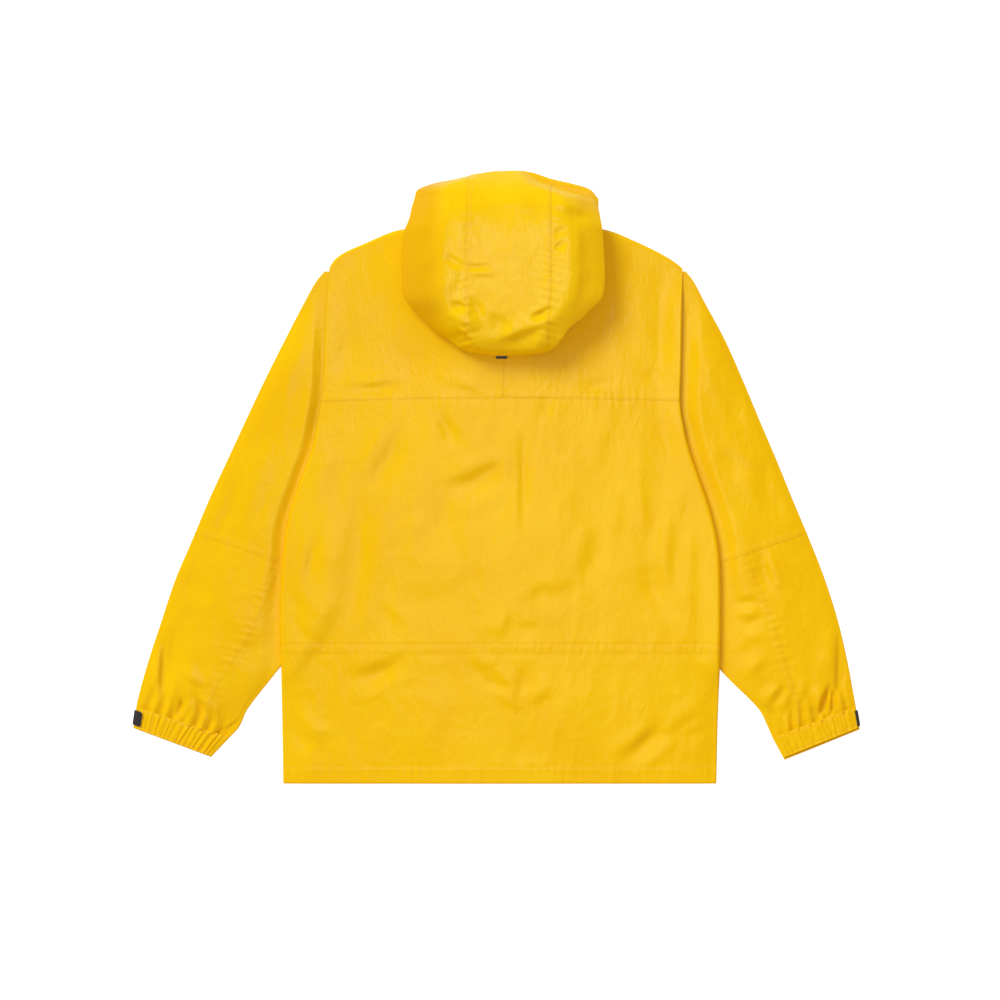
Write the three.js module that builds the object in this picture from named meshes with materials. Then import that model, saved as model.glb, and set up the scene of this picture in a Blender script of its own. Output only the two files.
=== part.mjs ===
// Mountain parka laid flat on its front, seen from the back. Millimetres.
// +X is to the right across the back, +Y runs from the hem to the hood, +Z is up from the surface it lies on.
import * as THREE from 'three';
import { mergeVertices } from 'three/addons/utils/BufferGeometryUtils.js';

const { degToRad, lerp, smoothstep } = THREE.MathUtils;

// ---- driving dimensions ----
const cloth = 1.4; // wall of the shell cloth with its lining
const seamGap = 0.3; // between pieces that meet at a seam
const looseness = 1.6; // how far the back floats over the front
const backCentre = 9; // x of the centre-back seam
const frontCentre = 5; // x of the front opening
const hemY = -416.5;
const hemTurn = 22; // depth of the turned hem
const hemExtra = 0.7; // the hem is thicker by its turning
const waistY = -227;
const yokeY = { left: 102, centre: 107, right: 103 }; // the yoke seam dips at both ends
const sleeveFlat = 3.4; // a sleeve pressed flat: two layers and the space between
const sleeveOpen = 3.1; // how much a sleeve stands open along its middle
const sleeveRest = sleeveFlat + seamGap; // height at which the body lies on a sleeve
const edgeEase = 34; // width over which the back climbs from its edge
const bodyTuck = { start: -305, end: -262 }; // y over which the body comes to lie on the sleeves
const armpit = { start: 14, end: 52 }; // y over which the tucked sleeve ends under the fronts
const backRoll = { start: 40, end: 100 }; // y over which the back's rolled edge turns into the armhole
const cuffWall = 1.6;
const cuffFlat = sleeveFlat + 0.4; // a cuff pressed flat
const cuffGathers = 14; // gathers across the top of each cuff
const cuffOpen = 2.6; // how much a cuff stands open along its middle
const tab = { low: 0.16, high: 0.84, thickness: 1.2, lift: 0.25 }; // across the cuff, as shares of its depth
const tabReach = { left: { over: 10, under: 0.75 }, right: { over: 2.6, under: 1 } };
const flap = { width: 60, top: 316, bottom: -409, snaps: 6, snapRadius: 7.5, edge: 15 };
const flapRest = cloth + seamGap; // height at which the fronts lie on the flap
const flapRamp = { start: 5, end: 22 }; // past the flap's edge, where the fronts come down to the surface
const tuckRamp = { start: 44, end: 9 }; // short of the tucked sleeve, where the fronts climb on to it
const hoodRim = { back: 12.5, top: 7 }; // height of the hood panels' lower rim
const hoodArch = 2.5; // squareness of the hood's cross arch
const yokeRest = { middle: 6.8, sides: 5.3 }; // height of the hood over the yoke
const brimRest = 5.3; // height of the hood over its turned front edge
const brim = { width: 24, thickness: 1.6, rise: 3.4 }; // the turned front edge
const neckline = { yoke: 342, brim: 360 }; // the hood rests on the yoke below this y, on the brim above that
const foldEdge = { ease: 2.5, lip: 3.8, layer: 1.4, soft: 1.2 }; // the layered edge of the folded hood
const hoodTabSize = { width: 15, length: 7.6, thickness: 1.8, low: 159.6, left: 2 };

// ---- outlines, a row for each place along the garment ----
const bodySides = [
  { y: -417, left: -290, right: 299 },
  { y: -330, left: -291.5, right: 301 },
  { y: -250, left: -293, right: 304 },
  { y: -180, left: -294, right: 305 },
  { y: -103, left: -290, right: 303 },
  { y: -48, left: -281, right: 292 },
  { y: 8, left: -262, right: 273 },
  { y: 34, left: -252, right: 264 },
  { y: 71, left: -244, right: 254 },
  { y: 102, left: -238, right: 250 },
  { y: 150, left: -234, right: 251 },
  { y: 213, left: -232, right: 252 },
  { y: 286, left: -227, right: 253 },
];

const topLine = [
  { x: -227, y: 286 },
  { x: -220, y: 296 },
  { x: -206, y: 306 },
  { x: -179, y: 318 },
  { x: -138, y: 335 },
  { x: -112, y: 337 },
  { x: -70, y: 328 },
  { x: 9, y: 323 },
  { x: 90, y: 328 },
  { x: 132, y: 337 },
  { x: 154, y: 335 },
  { x: 182, y: 324 },
  { x: 222, y: 305 },
  { x: 242, y: 293 },
  { x: 253, y: 284 },
];

const sleeveOuter = [
  { y: -330, left: -492.5, right: 492 },
  { y: -303, left: -488, right: 487 },
  { y: -249, left: -473, right: 477 },
  { y: -194, left: -455, right: 464 },
  { y: -140, left: -437, right: 447 },
  { y: -86, left: -414, right: 426 },
  { y: -31, left: -391, right: 403 },
  { y: 23, left: -366, right: 381 },
  { y: 77, left: -341, right: 358 },
  { y: 132, left: -315, right: 335 },
  { y: 186, left: -288, right: 311 },
  { y: 240, left: -260, right: 282 },
  { y: 268, left: -244, right: 267 },
  { y: 286, left: -228, right: 252 },
];

// the sleeve's inner line: its armhole edge above, its underarm fold below
const underarm = [
  { y: -380, left: -387, right: 388 },
  { y: -356, left: -365, right: 376 },
  { y: -340, left: -350, right: 369 },
  { y: -315, left: -338, right: 356 },
  { y: -266, left: -300, right: 308 },
  { y: -220, left: -266, right: 275 },
  { y: -160, left: -242, right: 252 },
  { y: -103, left: -236, right: 247 },
  { y: -48, left: -249, right: 260 },
  { y: 0, left: -254, right: 265 },
  { y: 40, left: -243, right: 254 },
  { y: 71, left: -237, right: 247 },
  { y: 102, left: -231, right: 243 },
  { y: 150, left: -227, right: 244 },
  { y: 286, left: -221, right: 247 },
];

// lines across the sleeves, and where the forearm seam crosses each, as a share of the way in
const upperSleeve = [
  { outerY: 280, innerY: 279 },
  { outerY: 266, innerY: 260 },
  { outerY: 240, innerY: 230 },
  { outerY: 195, innerY: 180 },
  { outerY: 150, innerY: 128 },
  { outerY: 105, innerY: 78 },
  { outerY: 62, innerY: 35 },
  { outerY: 34, innerY: 4 },
  { outerY: 5, innerY: -30 },
  { outerY: -34, innerY: -78 },
  { outerY: -77, innerY: -136 },
];
const forearm = [
  { outerY: -77.5, innerY: -136.5, seamLeft: 0.64, seamRight: 0.47 },
  { outerY: -110, innerY: -170, seamLeft: 0.615, seamRight: 0.46 },
  { outerY: -160, innerY: -210, seamLeft: 0.61, seamRight: 0.445 },
  { outerY: -210, innerY: -250, seamLeft: 0.595, seamRight: 0.465 },
  { outerY: -255, innerY: -288, seamLeft: 0.59, seamRight: 0.52 },
  { outerY: -283, innerY: -318, seamLeft: 0.595, seamRight: 0.58 },
  { outerY: -300, innerY: -338, seamLeft: 0.64, seamRight: 0.62 },
  { outerY: -312, innerY: -353, seamLeft: 0.68, seamRight: 0.66 },
];
const cuffEnd = {
  left: { outer: [-494, -341], inner: [-388, -380.5] },
  right: { outer: [494, -343], inner: [391.5, -384.5] },
};

// soft folds: middle, direction in degrees, half length, half width, and rise (a trough is negative)
const backFolds = [
  { x: -151, y: 36, angle: 51, half: 48, width: 13, rise: -1.2 },
  { x: -182, y: -76, angle: 90, half: 72, width: 15, rise: -1.2 },
  { x: -74, y: 63, angle: -57, half: 27, width: 10, rise: -0.9 },
  { x: 26, y: 16, angle: 90, half: 62, width: 13, rise: -1.1 },
  { x: -33, y: -13, angle: 37, half: 37, width: 11, rise: -1 },
  { x: -262, y: -190, angle: 77, half: 32, width: 10, rise: -0.8 },
  { x: 131, y: -69, angle: 68, half: 47, width: 15, rise: -1.2 },
  { x: 247, y: -131, angle: 90, half: 92, width: 14, rise: -1.2 },
  { x: 58, y: -159, angle: 40, half: 24, width: 10, rise: -0.7 },
  { x: -120, y: -70, angle: 82, half: 110, width: 34, rise: 1.5 },
  { x: 80, y: -40, angle: 84, half: 120, width: 32, rise: 1.4 },
  { x: 195, y: -60, angle: 86, half: 120, width: 30, rise: 1.4 },
  { x: -30, y: -140, angle: 20, half: 90, width: 28, rise: 1.1 },
  { x: -161, y: -266, angle: 19, half: 36, width: 10, rise: -0.9 },
  { x: -9, y: -272, angle: -38, half: 25, width: 9, rise: -0.8 },
  { x: 199, y: -360, angle: 45, half: 38, width: 13, rise: -1 },
  { x: -268, y: -350, angle: -59, half: 35, width: 10, rise: -0.9 },
  { x: 110, y: -320, angle: 80, half: 70, width: 30, rise: 1.2 },
  { x: -90, y: -330, angle: 75, half: 70, width: 30, rise: 1.2 },
  { x: -165, y: 122, angle: 3, half: 44, width: 9, rise: -0.8 },
  { x: 134, y: 126, angle: 5, half: 24, width: 9, rise: -0.7 },
  { x: -185, y: 220, angle: 70, half: 70, width: 24, rise: 1.2 },
  { x: 205, y: 215, angle: 108, half: 70, width: 24, rise: 1.2 },
];
const sleeveFolds = {
  left: [
    { x: -457, y: -262, angle: -79, half: 46, width: 8, rise: -1.5 },
    { x: -431, y: -306, angle: -60, half: 26, width: 6, rise: -1.4 },
    { x: -392, y: -160, angle: -70, half: 70, width: 16, rise: 0.6 },
    { x: -360, y: -40, angle: 68, half: 60, width: 12, rise: -1 },
    { x: -300, y: 90, angle: 66, half: 80, width: 13, rise: -0.9 },
    { x: -400, y: -262, angle: -62, half: 40, width: 9, rise: -1.2 },
  ],
  right: [
    { x: 460, y: -235, angle: 82, half: 60, width: 8, rise: -1.6 },
    { x: 447, y: -306, angle: 78, half: 26, width: 5, rise: -1.4 },
    { x: 405, y: -150, angle: 66, half: 60, width: 15, rise: 0.6 },
    { x: 372, y: -30, angle: -66, half: 60, width: 12, rise: -1 },
    { x: 315, y: 95, angle: -65, half: 80, width: 13, rise: -0.9 },
    { x: 398, y: -255, angle: 60, half: 40, width: 9, rise: -1.2 },
  ],
};

// the hood, lying back over the yoke: plan outline and height of its crown above the rim
const hoodSections = [
  { y: 164, left: -8, right: 24, crown: 1 },
  { y: 167, left: -28, right: 56, crown: 12 },
  { y: 172, left: -45, right: 74, crown: 20 },
  { y: 184, left: -61, right: 86, crown: 28 },
  { y: 200, left: -84, right: 98, crown: 34 },
  { y: 220, left: -104, right: 121, crown: 39 },
  { y: 241, left: -124, right: 141, crown: 43 },
  { y: 264, left: -128.5, right: 146, crown: 45 },
  { y: 300, left: -128.5, right: 145, crown: 45 },
  { y: 330, left: -126, right: 143, crown: 42 },
  { y: 348, left: -119, right: 140.5, crown: 39 },
  { y: 366, left: -115, right: 137, crown: 34 },
  { y: 380, left: -111, right: 127, crown: 28 },
  { y: 391, left: -106, right: 92, crown: 21 },
  { y: 399, left: -84, right: 66, crown: 15 },
  { y: 406, left: -50, right: 53, crown: 10 },
  { y: 412, left: -29, right: 43, crown: 6 },
  { y: 416, left: -4, right: 30, crown: 3 },
];
const hoodSeams = [
  { y: 176, left: -41, right: 70 },
  { y: 240, left: -42, right: 73 },
  { y: 300, left: -41, right: 74 },
  { y: 366, left: -39, right: 74 },
  { y: 405, left: -38, right: 74 },
];
// the hood's front edge, a turned strip whose far lip shows past the panels on the right
const brimEdge = [
  { x: -104, y: 389 },
  { x: -88, y: 397 },
  { x: -60, y: 401.5 },
  { x: -30, y: 411 },
  { x: -4, y: 415.4 },
  { x: 27, y: 417 },
  { x: 48, y: 414.5 },
  { x: 76, y: 405.5 },
  { x: 104, y: 399 },
  { x: 128, y: 391 },
  { x: 138.5, y: 379 },
];

const colours = {
  shell: 0xf8c32c,
  shade: 0xf0b81c,
  black: 0x1c181c,
  snap: 0x8c8c88,
};

// ---- helpers ----

// a column of a table at a place along its first column, on a smooth curve through its rows
function along(rows, key, column, at) {
  const last = rows.length - 1;
  if (at <= rows[0][key]) return rows[0][column];
  if (at >= rows[last][key]) return rows[last][column];
  let i = 0;
  while (rows[i + 1][key] < at) i += 1;
  const slope = (k) => {
    const before = rows[Math.max(k - 1, 0)];
    const after = rows[Math.min(k + 1, last)];
    return (after[column] - before[column]) / (after[key] - before[key]);
  };
  const span = rows[i + 1][key] - rows[i][key];
  const t = (at - rows[i][key]) / span;
  const t2 = t * t;
  const t3 = t2 * t;
  return (
    rows[i][column] * (2 * t3 - 3 * t2 + 1)
    + rows[i + 1][column] * (3 * t2 - 2 * t3)
    + slope(i) * span * (t3 - 2 * t2 + t)
    + slope(i + 1) * span * (t3 - t2)
  );
}

const evenly = (count) => Array.from({ length: count + 1 }, (_, k) => k / count);
const sign = (side) => (side === 'left' ? -1 : 1);
const sideOf = (x) => (x < backCentre ? 'left' : 'right');
const sideEdge = (side, y) => along(bodySides, 'y', side, y);
const innerEdge = (side, y) => along(underarm, 'y', side, y);
const outerEdge = (side, y) => along(sleeveOuter, 'y', side, y);

// the sum of the soft folds at a point
function foldsAt(folds, x, y) {
  let sum = 0;
  for (const fold of folds) {
    const cos = Math.cos(degToRad(fold.angle));
    const sin = Math.sin(degToRad(fold.angle));
    const lengthwise = ((x - fold.x) * cos + (y - fold.y) * sin) / fold.half;
    const across = ((y - fold.y) * cos - (x - fold.x) * sin) / fold.width;
    if (Math.abs(lengthwise) < 1) {
      sum += fold.rise * (1 - lengthwise * lengthwise) ** 2 * Math.exp(-across * across);
    }
  }
  return sum;
}

// a mesh from triangles, turned so that its faces point out
function solid(name, colour, points, faces) {
  const volume = faces.reduce((sum, [a, b, c]) => {
    const cross = new THREE.Vector3().crossVectors(points[b], points[c]);
    return sum + points[a].dot(cross);
  }, 0);
  const index = volume < 0 ? faces.flatMap(([a, b, c]) => [a, c, b]) : faces.flat();
  const raw = new THREE.BufferGeometry();
  raw.setAttribute('position', new THREE.Float32BufferAttribute(points.flatMap((p) => p.toArray()), 3));
  raw.setIndex(index);
  const material = new THREE.MeshStandardMaterial({ color: colour, roughness: 0.62, metalness: 0 });
  const mesh = new THREE.Mesh(mergeVertices(raw, 1e-4), material);
  mesh.geometry.computeVertexNormals();
  mesh.name = name;
  return mesh;
}

// a wall of cloth from rows of { out, in } points, closed round its rim or, as a tube, into a ring
function wall(name, colour, rows, ring = false) {
  const points = [];
  const faces = [];
  const across = rows[0].length;
  const outAt = (i, j) => 2 * (i * across + (j % across));
  const inAt = (i, j) => outAt(i, j) + 1;
  for (const row of rows) {
    for (const place of row) points.push(place.out, place.in);
  }
  const quad = (a, b, c, d) => faces.push([a, b, c], [a, c, d]);
  const columns = ring ? across : across - 1;
  for (let i = 0; i < rows.length - 1; i += 1) {
    for (let j = 0; j < columns; j += 1) {
      quad(outAt(i, j), outAt(i, j + 1), outAt(i + 1, j + 1), outAt(i + 1, j));
      quad(inAt(i, j), inAt(i + 1, j), inAt(i + 1, j + 1), inAt(i, j + 1));
    }
  }
  const last = rows.length - 1;
  for (let j = 0; j < columns; j += 1) {
    quad(outAt(0, j), inAt(0, j), inAt(0, j + 1), outAt(0, j + 1));
    quad(outAt(last, j), outAt(last, j + 1), inAt(last, j + 1), inAt(last, j));
  }
  if (!ring) {
    for (let i = 0; i < last; i += 1) {
      quad(outAt(i, 0), outAt(i + 1, 0), inAt(i + 1, 0), inAt(i, 0));
      quad(outAt(i, across - 1), inAt(i, across - 1), inAt(i + 1, across - 1), outAt(i + 1, across - 1));
    }
  }
  return solid(name, colour, points, faces);
}

// a solid through closed sections of equal count, capped at both ends
function loft(name, colour, sections) {
  const points = sections.flat();
  const faces = [];
  const count = sections[0].length;
  const at = (i, j) => i * count + (j % count);
  for (let i = 0; i < sections.length - 1; i += 1) {
    for (let j = 0; j < count; j += 1) {
      faces.push([at(i, j), at(i, j + 1), at(i + 1, j + 1)], [at(i, j), at(i + 1, j + 1), at(i + 1, j)]);
    }
  }
  const cap = (i, turned) => {
    const flat = sections[i].map((p) => new THREE.Vector2(p.x, p.z));
    for (const [a, b, c] of THREE.ShapeUtils.triangulateShape(flat, [])) {
      faces.push(turned ? [at(i, a), at(i, b), at(i, c)] : [at(i, a), at(i, c), at(i, b)]);
    }
  };
  const firstTurned = !THREE.ShapeUtils.isClockWise(sections[0].map((p) => new THREE.Vector2(p.x, p.z)));
  cap(0, !firstTurned);
  cap(sections.length - 1, firstTurned);
  return solid(name, colour, points, faces);
}

// ---- how the layers lie on each other ----

// the fronts are lifted by the sleeve that is tucked under the armpit, and by the flap at the opening
function frontLift(x, y) {
  const side = sideOf(x);
  const reach = Math.abs(innerEdge(side, y));
  const overSleeve = smoothstep(Math.abs(x), reach - tuckRamp.start, reach - tuckRamp.end);
  const belowArmpit = 1 - smoothstep(y, armpit.start, armpit.end);
  const alongBody = belowArmpit * smoothstep(y, bodyTuck.start, bodyTuck.end);
  const fromOpening = Math.abs(x - frontCentre) - flap.width / 2;
  const overFlap = 1 - smoothstep(fromOpening, flapRamp.start, flapRamp.end);
  return sleeveRest * overSleeve * alongBody + flapRest * overFlap;
}

// the fronts stop inside the back's rolled edge, and above the armpit at the sleeve's armhole edge
function frontEdge(side, y) {
  const insideRoll = Math.abs(sideEdge(side, y)) - 2.5;
  const besideSleeve = Math.abs(innerEdge(side, y)) - 0.9;
  return sign(side) * lerp(insideRoll, besideSleeve, smoothstep(y, -40, 0));
}

const ledge = (y) => sleeveRest * smoothstep(y, bodyTuck.start, bodyTuck.end); // what the back's edge lies on
// 1 where the back rolls down at its edge
const rollShare = (y) => 1 - smoothstep(y, backRoll.start, backRoll.end);
const edgeHeight = (y) => cloth + 0.1 + rollShare(y) * (looseness + seamGap + cloth); // over that ledge

function backTop(x, y) {
  const side = sideOf(x);
  const inward = Math.abs(sideEdge(side, y)) - Math.abs(x);
  const inside = frontLift(x, y) + 2 * cloth + seamGap + looseness + foldsAt(backFolds, x, y);
  return lerp(ledge(y) + edgeHeight(y), inside, smoothstep(inward, 0, edgeEase));
}

// columns over a rolled edge: how far in each lies, its drop, and the lean of its wall
function rollColumns(share, radius) {
  const steps = 3;
  const start = degToRad(90) * share;
  return evenly(steps).map((k) => {
    const angle = start * (1 - k);
    const plain = k * steps * 1.3 * (1 - share);
    return {
      inward: radius * (Math.sin(start) - Math.sin(angle)) + plain,
      drop: radius * (1 - Math.cos(angle)),
      lean: angle,
    };
  });
}

// ---- the back ----

function backPoint(side, x, y, column, extra = 0) {
  const z = backTop(x, y) - column.drop;
  const toMiddle = -sign(side);
  return {
    out: new THREE.Vector3(x, y, z + extra * Math.cos(column.lean)),
    in: new THREE.Vector3(
      x + toMiddle * cloth * Math.sin(column.lean),
      y,
      z - cloth * Math.cos(column.lean),
    ),
  };
}

function backRow(yAt, middleColumns, extra = 0) {
  const flat = { drop: 0, lean: 0 };
  const rolls = (side) => {
    const y = yAt(sideEdge(side, yAt(0)));
    return rollColumns(rollShare(y), edgeHeight(y)).map((column) => {
      const x = sideEdge(side, y) - sign(side) * column.inward;
      return backPoint(side, x, yAt(x), column, extra);
    });
  };
  const left = rolls('left');
  const right = rolls('right').reverse();
  const from = left[left.length - 1].out.x;
  const to = right[0].out.x;
  const middle = evenly(middleColumns).slice(1, -1).map((t) => {
    const x = lerp(from, to, t);
    return backPoint(sideOf(x), x, yAt(x), flat, extra);
  });
  return [...left, ...middle, ...right];
}

function yokeSeam(x) {
  const share = Math.abs(x - backCentre) / 240;
  const end = x < backCentre ? yokeY.left : yokeY.right;
  return lerp(yokeY.centre, end, Math.min(share, 1) ** 2);
}

function backPanel() {
  const stops = [0, 0.07, 0.16, 0.25, 0.34, 0.43, 0.52, 0.6, 0.68, 0.76, 0.83, 0.89, 0.95, 1];
  const rows = stops.map((t) => {
    const yAt = (x) => lerp(waistY + seamGap / 2, yokeSeam(x) - seamGap / 2, t);
    return backRow(yAt, 18);
  });
  return wall('back_panel', colours.shell, rows);
}

function backLower() {
  const top = waistY - seamGap / 2;
  const hemTop = hemY + hemTurn;
  const plain = evenly(6).map((t) => ({ y: lerp(hemTop + 1.5, top, t), extra: 0 }));
  const hem = [
    { y: hemY, extra: hemExtra },
    { y: hemTop, extra: hemExtra },
  ];
  const rows = [...hem, ...plain].map(({ y, extra }) => backRow(() => y, 18, extra));
  return wall('back_lower', colours.shell, rows);
}

// each half of the yoke, from the yoke seam up to the shoulder roll and the neckline
function yoke(side) {
  const columns = evenly(11);
  const rise = [0, 0.18, 0.36, 0.54, 0.72, 0.88];
  const tipX = sideEdge(side, bodySides[bodySides.length - 1].y);
  const middleX = backCentre + sign(side) * seamGap / 2;
  const pointAt = (u, t, column, rolled) => {
    const topX = lerp(tipX, middleX, u);
    const slopeStep = 1;
    const topY = along(topLine, 'x', 'y', topX);
    const slope = along(topLine, 'x', 'y', topX + slopeStep) - along(topLine, 'x', 'y', topX - slopeStep);
    const down = new THREE.Vector2(slope / (2 * slopeStep), -1).normalize();
    const start = yokeSeam(topX) + seamGap / 2;
    const y = t === null ? topY - column.inward : lerp(start, topY - column.inward, t);
    const x = lerp(sideEdge(side, y), middleX, u);
    const z = backTop(x, y) - column.drop;
    const lean = rolled ? column.lean : 0;
    return {
      out: new THREE.Vector3(x, y, z),
      in: new THREE.Vector3(
        x + down.x * cloth * Math.sin(lean),
        y + down.y * cloth * Math.sin(lean),
        z - cloth * Math.cos(lean),
      ),
    };
  };
  const shoulderRoll = (u) => {
    const topX = lerp(tipX, middleX, u);
    const share = smoothstep(Math.abs(topX - backCentre), 118, 142);
    return rollColumns(share, ledgeAtShoulder(topX));
  };
  const rows = rise.map((t) => columns.map((u) => {
    const roll = shoulderRoll(u);
    const innermost = roll[roll.length - 1];
    return pointAt(u, t, { inward: innermost.inward, drop: 0, lean: 0 }, false);
  }));
  for (const k of [3, 2, 1, 0]) {
    rows.push(columns.map((u) => pointAt(u, null, shoulderRoll(u)[k], true)));
  }
  return wall(`yoke_${side}`, colours.shell, rows);
}

// the back's height at the shoulder line, all of which it rolls down
function ledgeAtShoulder(x) {
  return backTop(x, along(topLine, 'x', 'y', x));
}

// ---- the fronts, on which it lies ----

function front(side) {
  const levels = [hemY, -350, -305, -284, -262, -235, -205, -170, -135, -100, -70, -45, -22, 0, 20, 40];
  levels.push(71, 102, 150, 213, 255);
  const topCorner = Math.abs(sideEdge(side, 284)) - 14;
  const xColumns = (y) => {
    const edge = Math.abs(frontEdge(side, y));
    const opening = sign(side) * frontCentre;
    const reach = Math.min(Math.abs(innerEdge(side, y)), edge);
    const besideFlap = opening + flap.width / 2;
    const climb = reach - tuckRamp.start;
    const overFlap = [opening + seamGap / 2, besideFlap + flapRamp.start, besideFlap + flapRamp.end];
    const plain = [lerp(overFlap[2], climb, 0.5), climb];
    return [...overFlap, ...plain, reach - 26, reach - tuckRamp.end, edge];
  };
  const place = (x, y) => {
    const z = frontLift(x, y);
    return { out: new THREE.Vector3(x, y, z), in: new THREE.Vector3(x, y, z + cloth) };
  };
  const rows = levels.map((y) => xColumns(y).map((x) => place(sign(side) * x, y)));
  const lastRow = xColumns(levels[levels.length - 1]);
  const toTop = topCorner / lastRow[lastRow.length - 1];
  rows.push(lastRow.map((x) => {
    const topX = sign(side) * x * toTop;
    return place(topX, along(topLine, 'x', 'y', topX) - 6);
  }));
  return wall(`front_${side}`, colours.shade, rows);
}

function snapPlaces() {
  const x = frontCentre + flap.width / 2 - flap.edge;
  return evenly(flap.snaps - 1).map((t) => new THREE.Vector2(x, lerp(flap.bottom + 40, flap.top - 40, t)));
}

function stormFlap() {
  const half = flap.width / 2;
  const outline = new THREE.Shape([
    new THREE.Vector2(frontCentre - half, flap.bottom),
    new THREE.Vector2(frontCentre + half, flap.bottom),
    new THREE.Vector2(frontCentre + half, flap.top),
    new THREE.Vector2(frontCentre - half, flap.top),
  ]);
  for (const place of snapPlaces()) {
    const hole = new THREE.Path();
    hole.absarc(place.x, place.y, flap.snapRadius + 2 * seamGap, 0, Math.PI * 2, true);
    outline.holes.push(hole);
  }
  const settings = { depth: cloth, bevelEnabled: false, curveSegments: 8 };
  const geometry = new THREE.ExtrudeGeometry(outline, settings);
  return plainMesh('storm_flap', colours.shade, geometry);
}

function plainMesh(name, colour, geometry) {
  geometry.deleteAttribute('normal');
  geometry.deleteAttribute('uv');
  const material = new THREE.MeshStandardMaterial({ color: colour, roughness: 0.5, metalness: 0 });
  const mesh = new THREE.Mesh(mergeVertices(geometry, 1e-4), material);
  mesh.name = name;
  return mesh;
}

function snaps() {
  return snapPlaces().map((place, k) => {
    const geometry = new THREE.CylinderGeometry(flap.snapRadius, flap.snapRadius, cloth, 16);
    geometry.rotateX(Math.PI / 2);
    geometry.translate(place.x, place.y, cloth / 2);
    return plainMesh(`snap_${k + 1}`, colours.snap, geometry);
  });
}

// ---- the sleeves ----

// height of a sleeve's top layer: open along its middle, flat where the body lies on it
function sleeveTop(side, x, y, share, open) {
  const clear = Math.abs(x) - Math.abs(sideEdge(side, y));
  const free = Math.max(smoothstep(clear, 2, 40), smoothstep(-y, 272, 325));
  const crown = open * Math.sin(Math.PI * share) ** 0.8 + foldsAt(sleeveFolds[side], x, y);
  return Math.max(sleeveFlat + crown * free, 2 * cloth + seamGap);
}

// half of a flattened sleeve: its top layer from the seam to the fold, round the fold, and back below
function halfLoop(fold, seam, topAt, wallThickness, counts, gather = () => 0) {
  const across = new THREE.Vector2().subVectors(seam, fold);
  const width = across.length();
  const way = across.normalize();
  const radius = topAt(fold.x, fold.y, 0) / 2;
  const place = (distance, outZ, inZ) => {
    const x = fold.x + way.x * distance;
    const y = fold.y + way.y * distance;
    return { out: new THREE.Vector3(x, y, outZ(x, y)), in: new THREE.Vector3(x, y, inZ(x, y)) };
  };
  const points = [];
  for (const t of evenly(counts.top)) {
    const distance = lerp(width, radius, t);
    const eased = smoothstep(distance, radius, radius + 6);
    const topZ = (x, y) => lerp(2 * radius, topAt(x, y, distance) + gather(distance), eased);
    points.push(place(distance, topZ, (x, y) => topZ(x, y) - wallThickness));
  }
  for (const t of evenly(counts.round).slice(1, -1)) {
    const angle = Math.PI / 2 + Math.PI * t;
    const inner = radius - wallThickness;
    const ring = (r) => new THREE.Vector3(
      fold.x + way.x * (radius + r * Math.cos(angle)),
      fold.y + way.y * (radius + r * Math.cos(angle)),
      radius + r * Math.sin(angle),
    );
    points.push({ out: ring(radius), in: ring(inner) });
  }
  for (const t of evenly(counts.bottom)) {
    points.push(place(lerp(radius, width, t), () => 0, () => wallThickness));
  }
  return points;
}

function sleeveLine(side, row) {
  return {
    outer: new THREE.Vector2(outerEdge(side, row.outerY), row.outerY),
    inner: new THREE.Vector2(innerEdge(side, row.innerY), row.innerY),
  };
}

function upperSleevePiece(side) {
  const rows = upperSleeve.map((row, i) => {
    const { outer, inner } = sleeveLine(side, row);
    const width = outer.distanceTo(inner);
    const open = sleeveOpen * smoothstep(i, 0, 4);
    const topAt = (x, y, distance) => sleeveTop(side, x, y, distance / width, open);
    return halfLoop(outer, inner, topAt, cloth, { top: 11, round: 4, bottom: 4 });
  });
  return wall(`sleeve_upper_${side}`, colours.shell, rows);
}

// the forearm is cut in two, an outer piece and an inner one that bends at the elbow
function forearmPieces(side) {
  const seamKey = side === 'left' ? 'seamLeft' : 'seamRight';
  const sections = forearm.map((row, i) => {
    const { outer, inner } = sleeveLine(side, row);
    const seam = new THREE.Vector2().lerpVectors(outer, inner, row[seamKey]);
    const half = new THREE.Vector2().subVectors(inner, outer).setLength(seamGap / 2);
    const width = outer.distanceTo(inner);
    const gathered = smoothstep(i, forearm.length - 4, forearm.length - 1);
    const topFrom = (start) => (x, y, distance) => {
      const share = Math.abs(start - distance / width);
      return sleeveTop(side, x, y, share, sleeveOpen) + 0.7 * gathered * Math.cos(share * Math.PI * 14);
    };
    return {
      outer: halfLoop(outer, seam.clone().sub(half), topFrom(0), cloth, { top: 15, round: 4, bottom: 4 }),
      inner: halfLoop(inner, seam.clone().add(half), topFrom(1), cloth, { top: 9, round: 4, bottom: 3 }),
    };
  });
  return [
    wall(`sleeve_lower_outer_${side}`, colours.shade, sections.map((s) => s.outer)),
    wall(`sleeve_lower_inner_${side}`, colours.shell, sections.map((s) => s.inner)),
  ];
}

// a line across the cuff, from its seam with the sleeve (0) to its open end (1)
function cuffLine(side, t) {
  const row = forearm[forearm.length - 1];
  const start = sleeveLine(side, { outerY: row.outerY - seamGap, innerY: row.innerY - seamGap });
  const end = cuffEnd[side];
  return {
    outer: start.outer.lerp(new THREE.Vector2(...end.outer), t),
    inner: start.inner.lerp(new THREE.Vector2(...end.inner), t),
  };
}

function cuffTop(width, t) {
  const pitch = width / cuffGathers;
  const drawn = 0.55 + 0.4 * Math.sin(Math.PI * t);
  return (distance) => {
    const crown = cuffOpen * Math.sin(Math.PI * distance / width) ** 0.7;
    return cuffFlat + crown + drawn * Math.cos((2 * Math.PI * distance) / pitch);
  };
}

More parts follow.
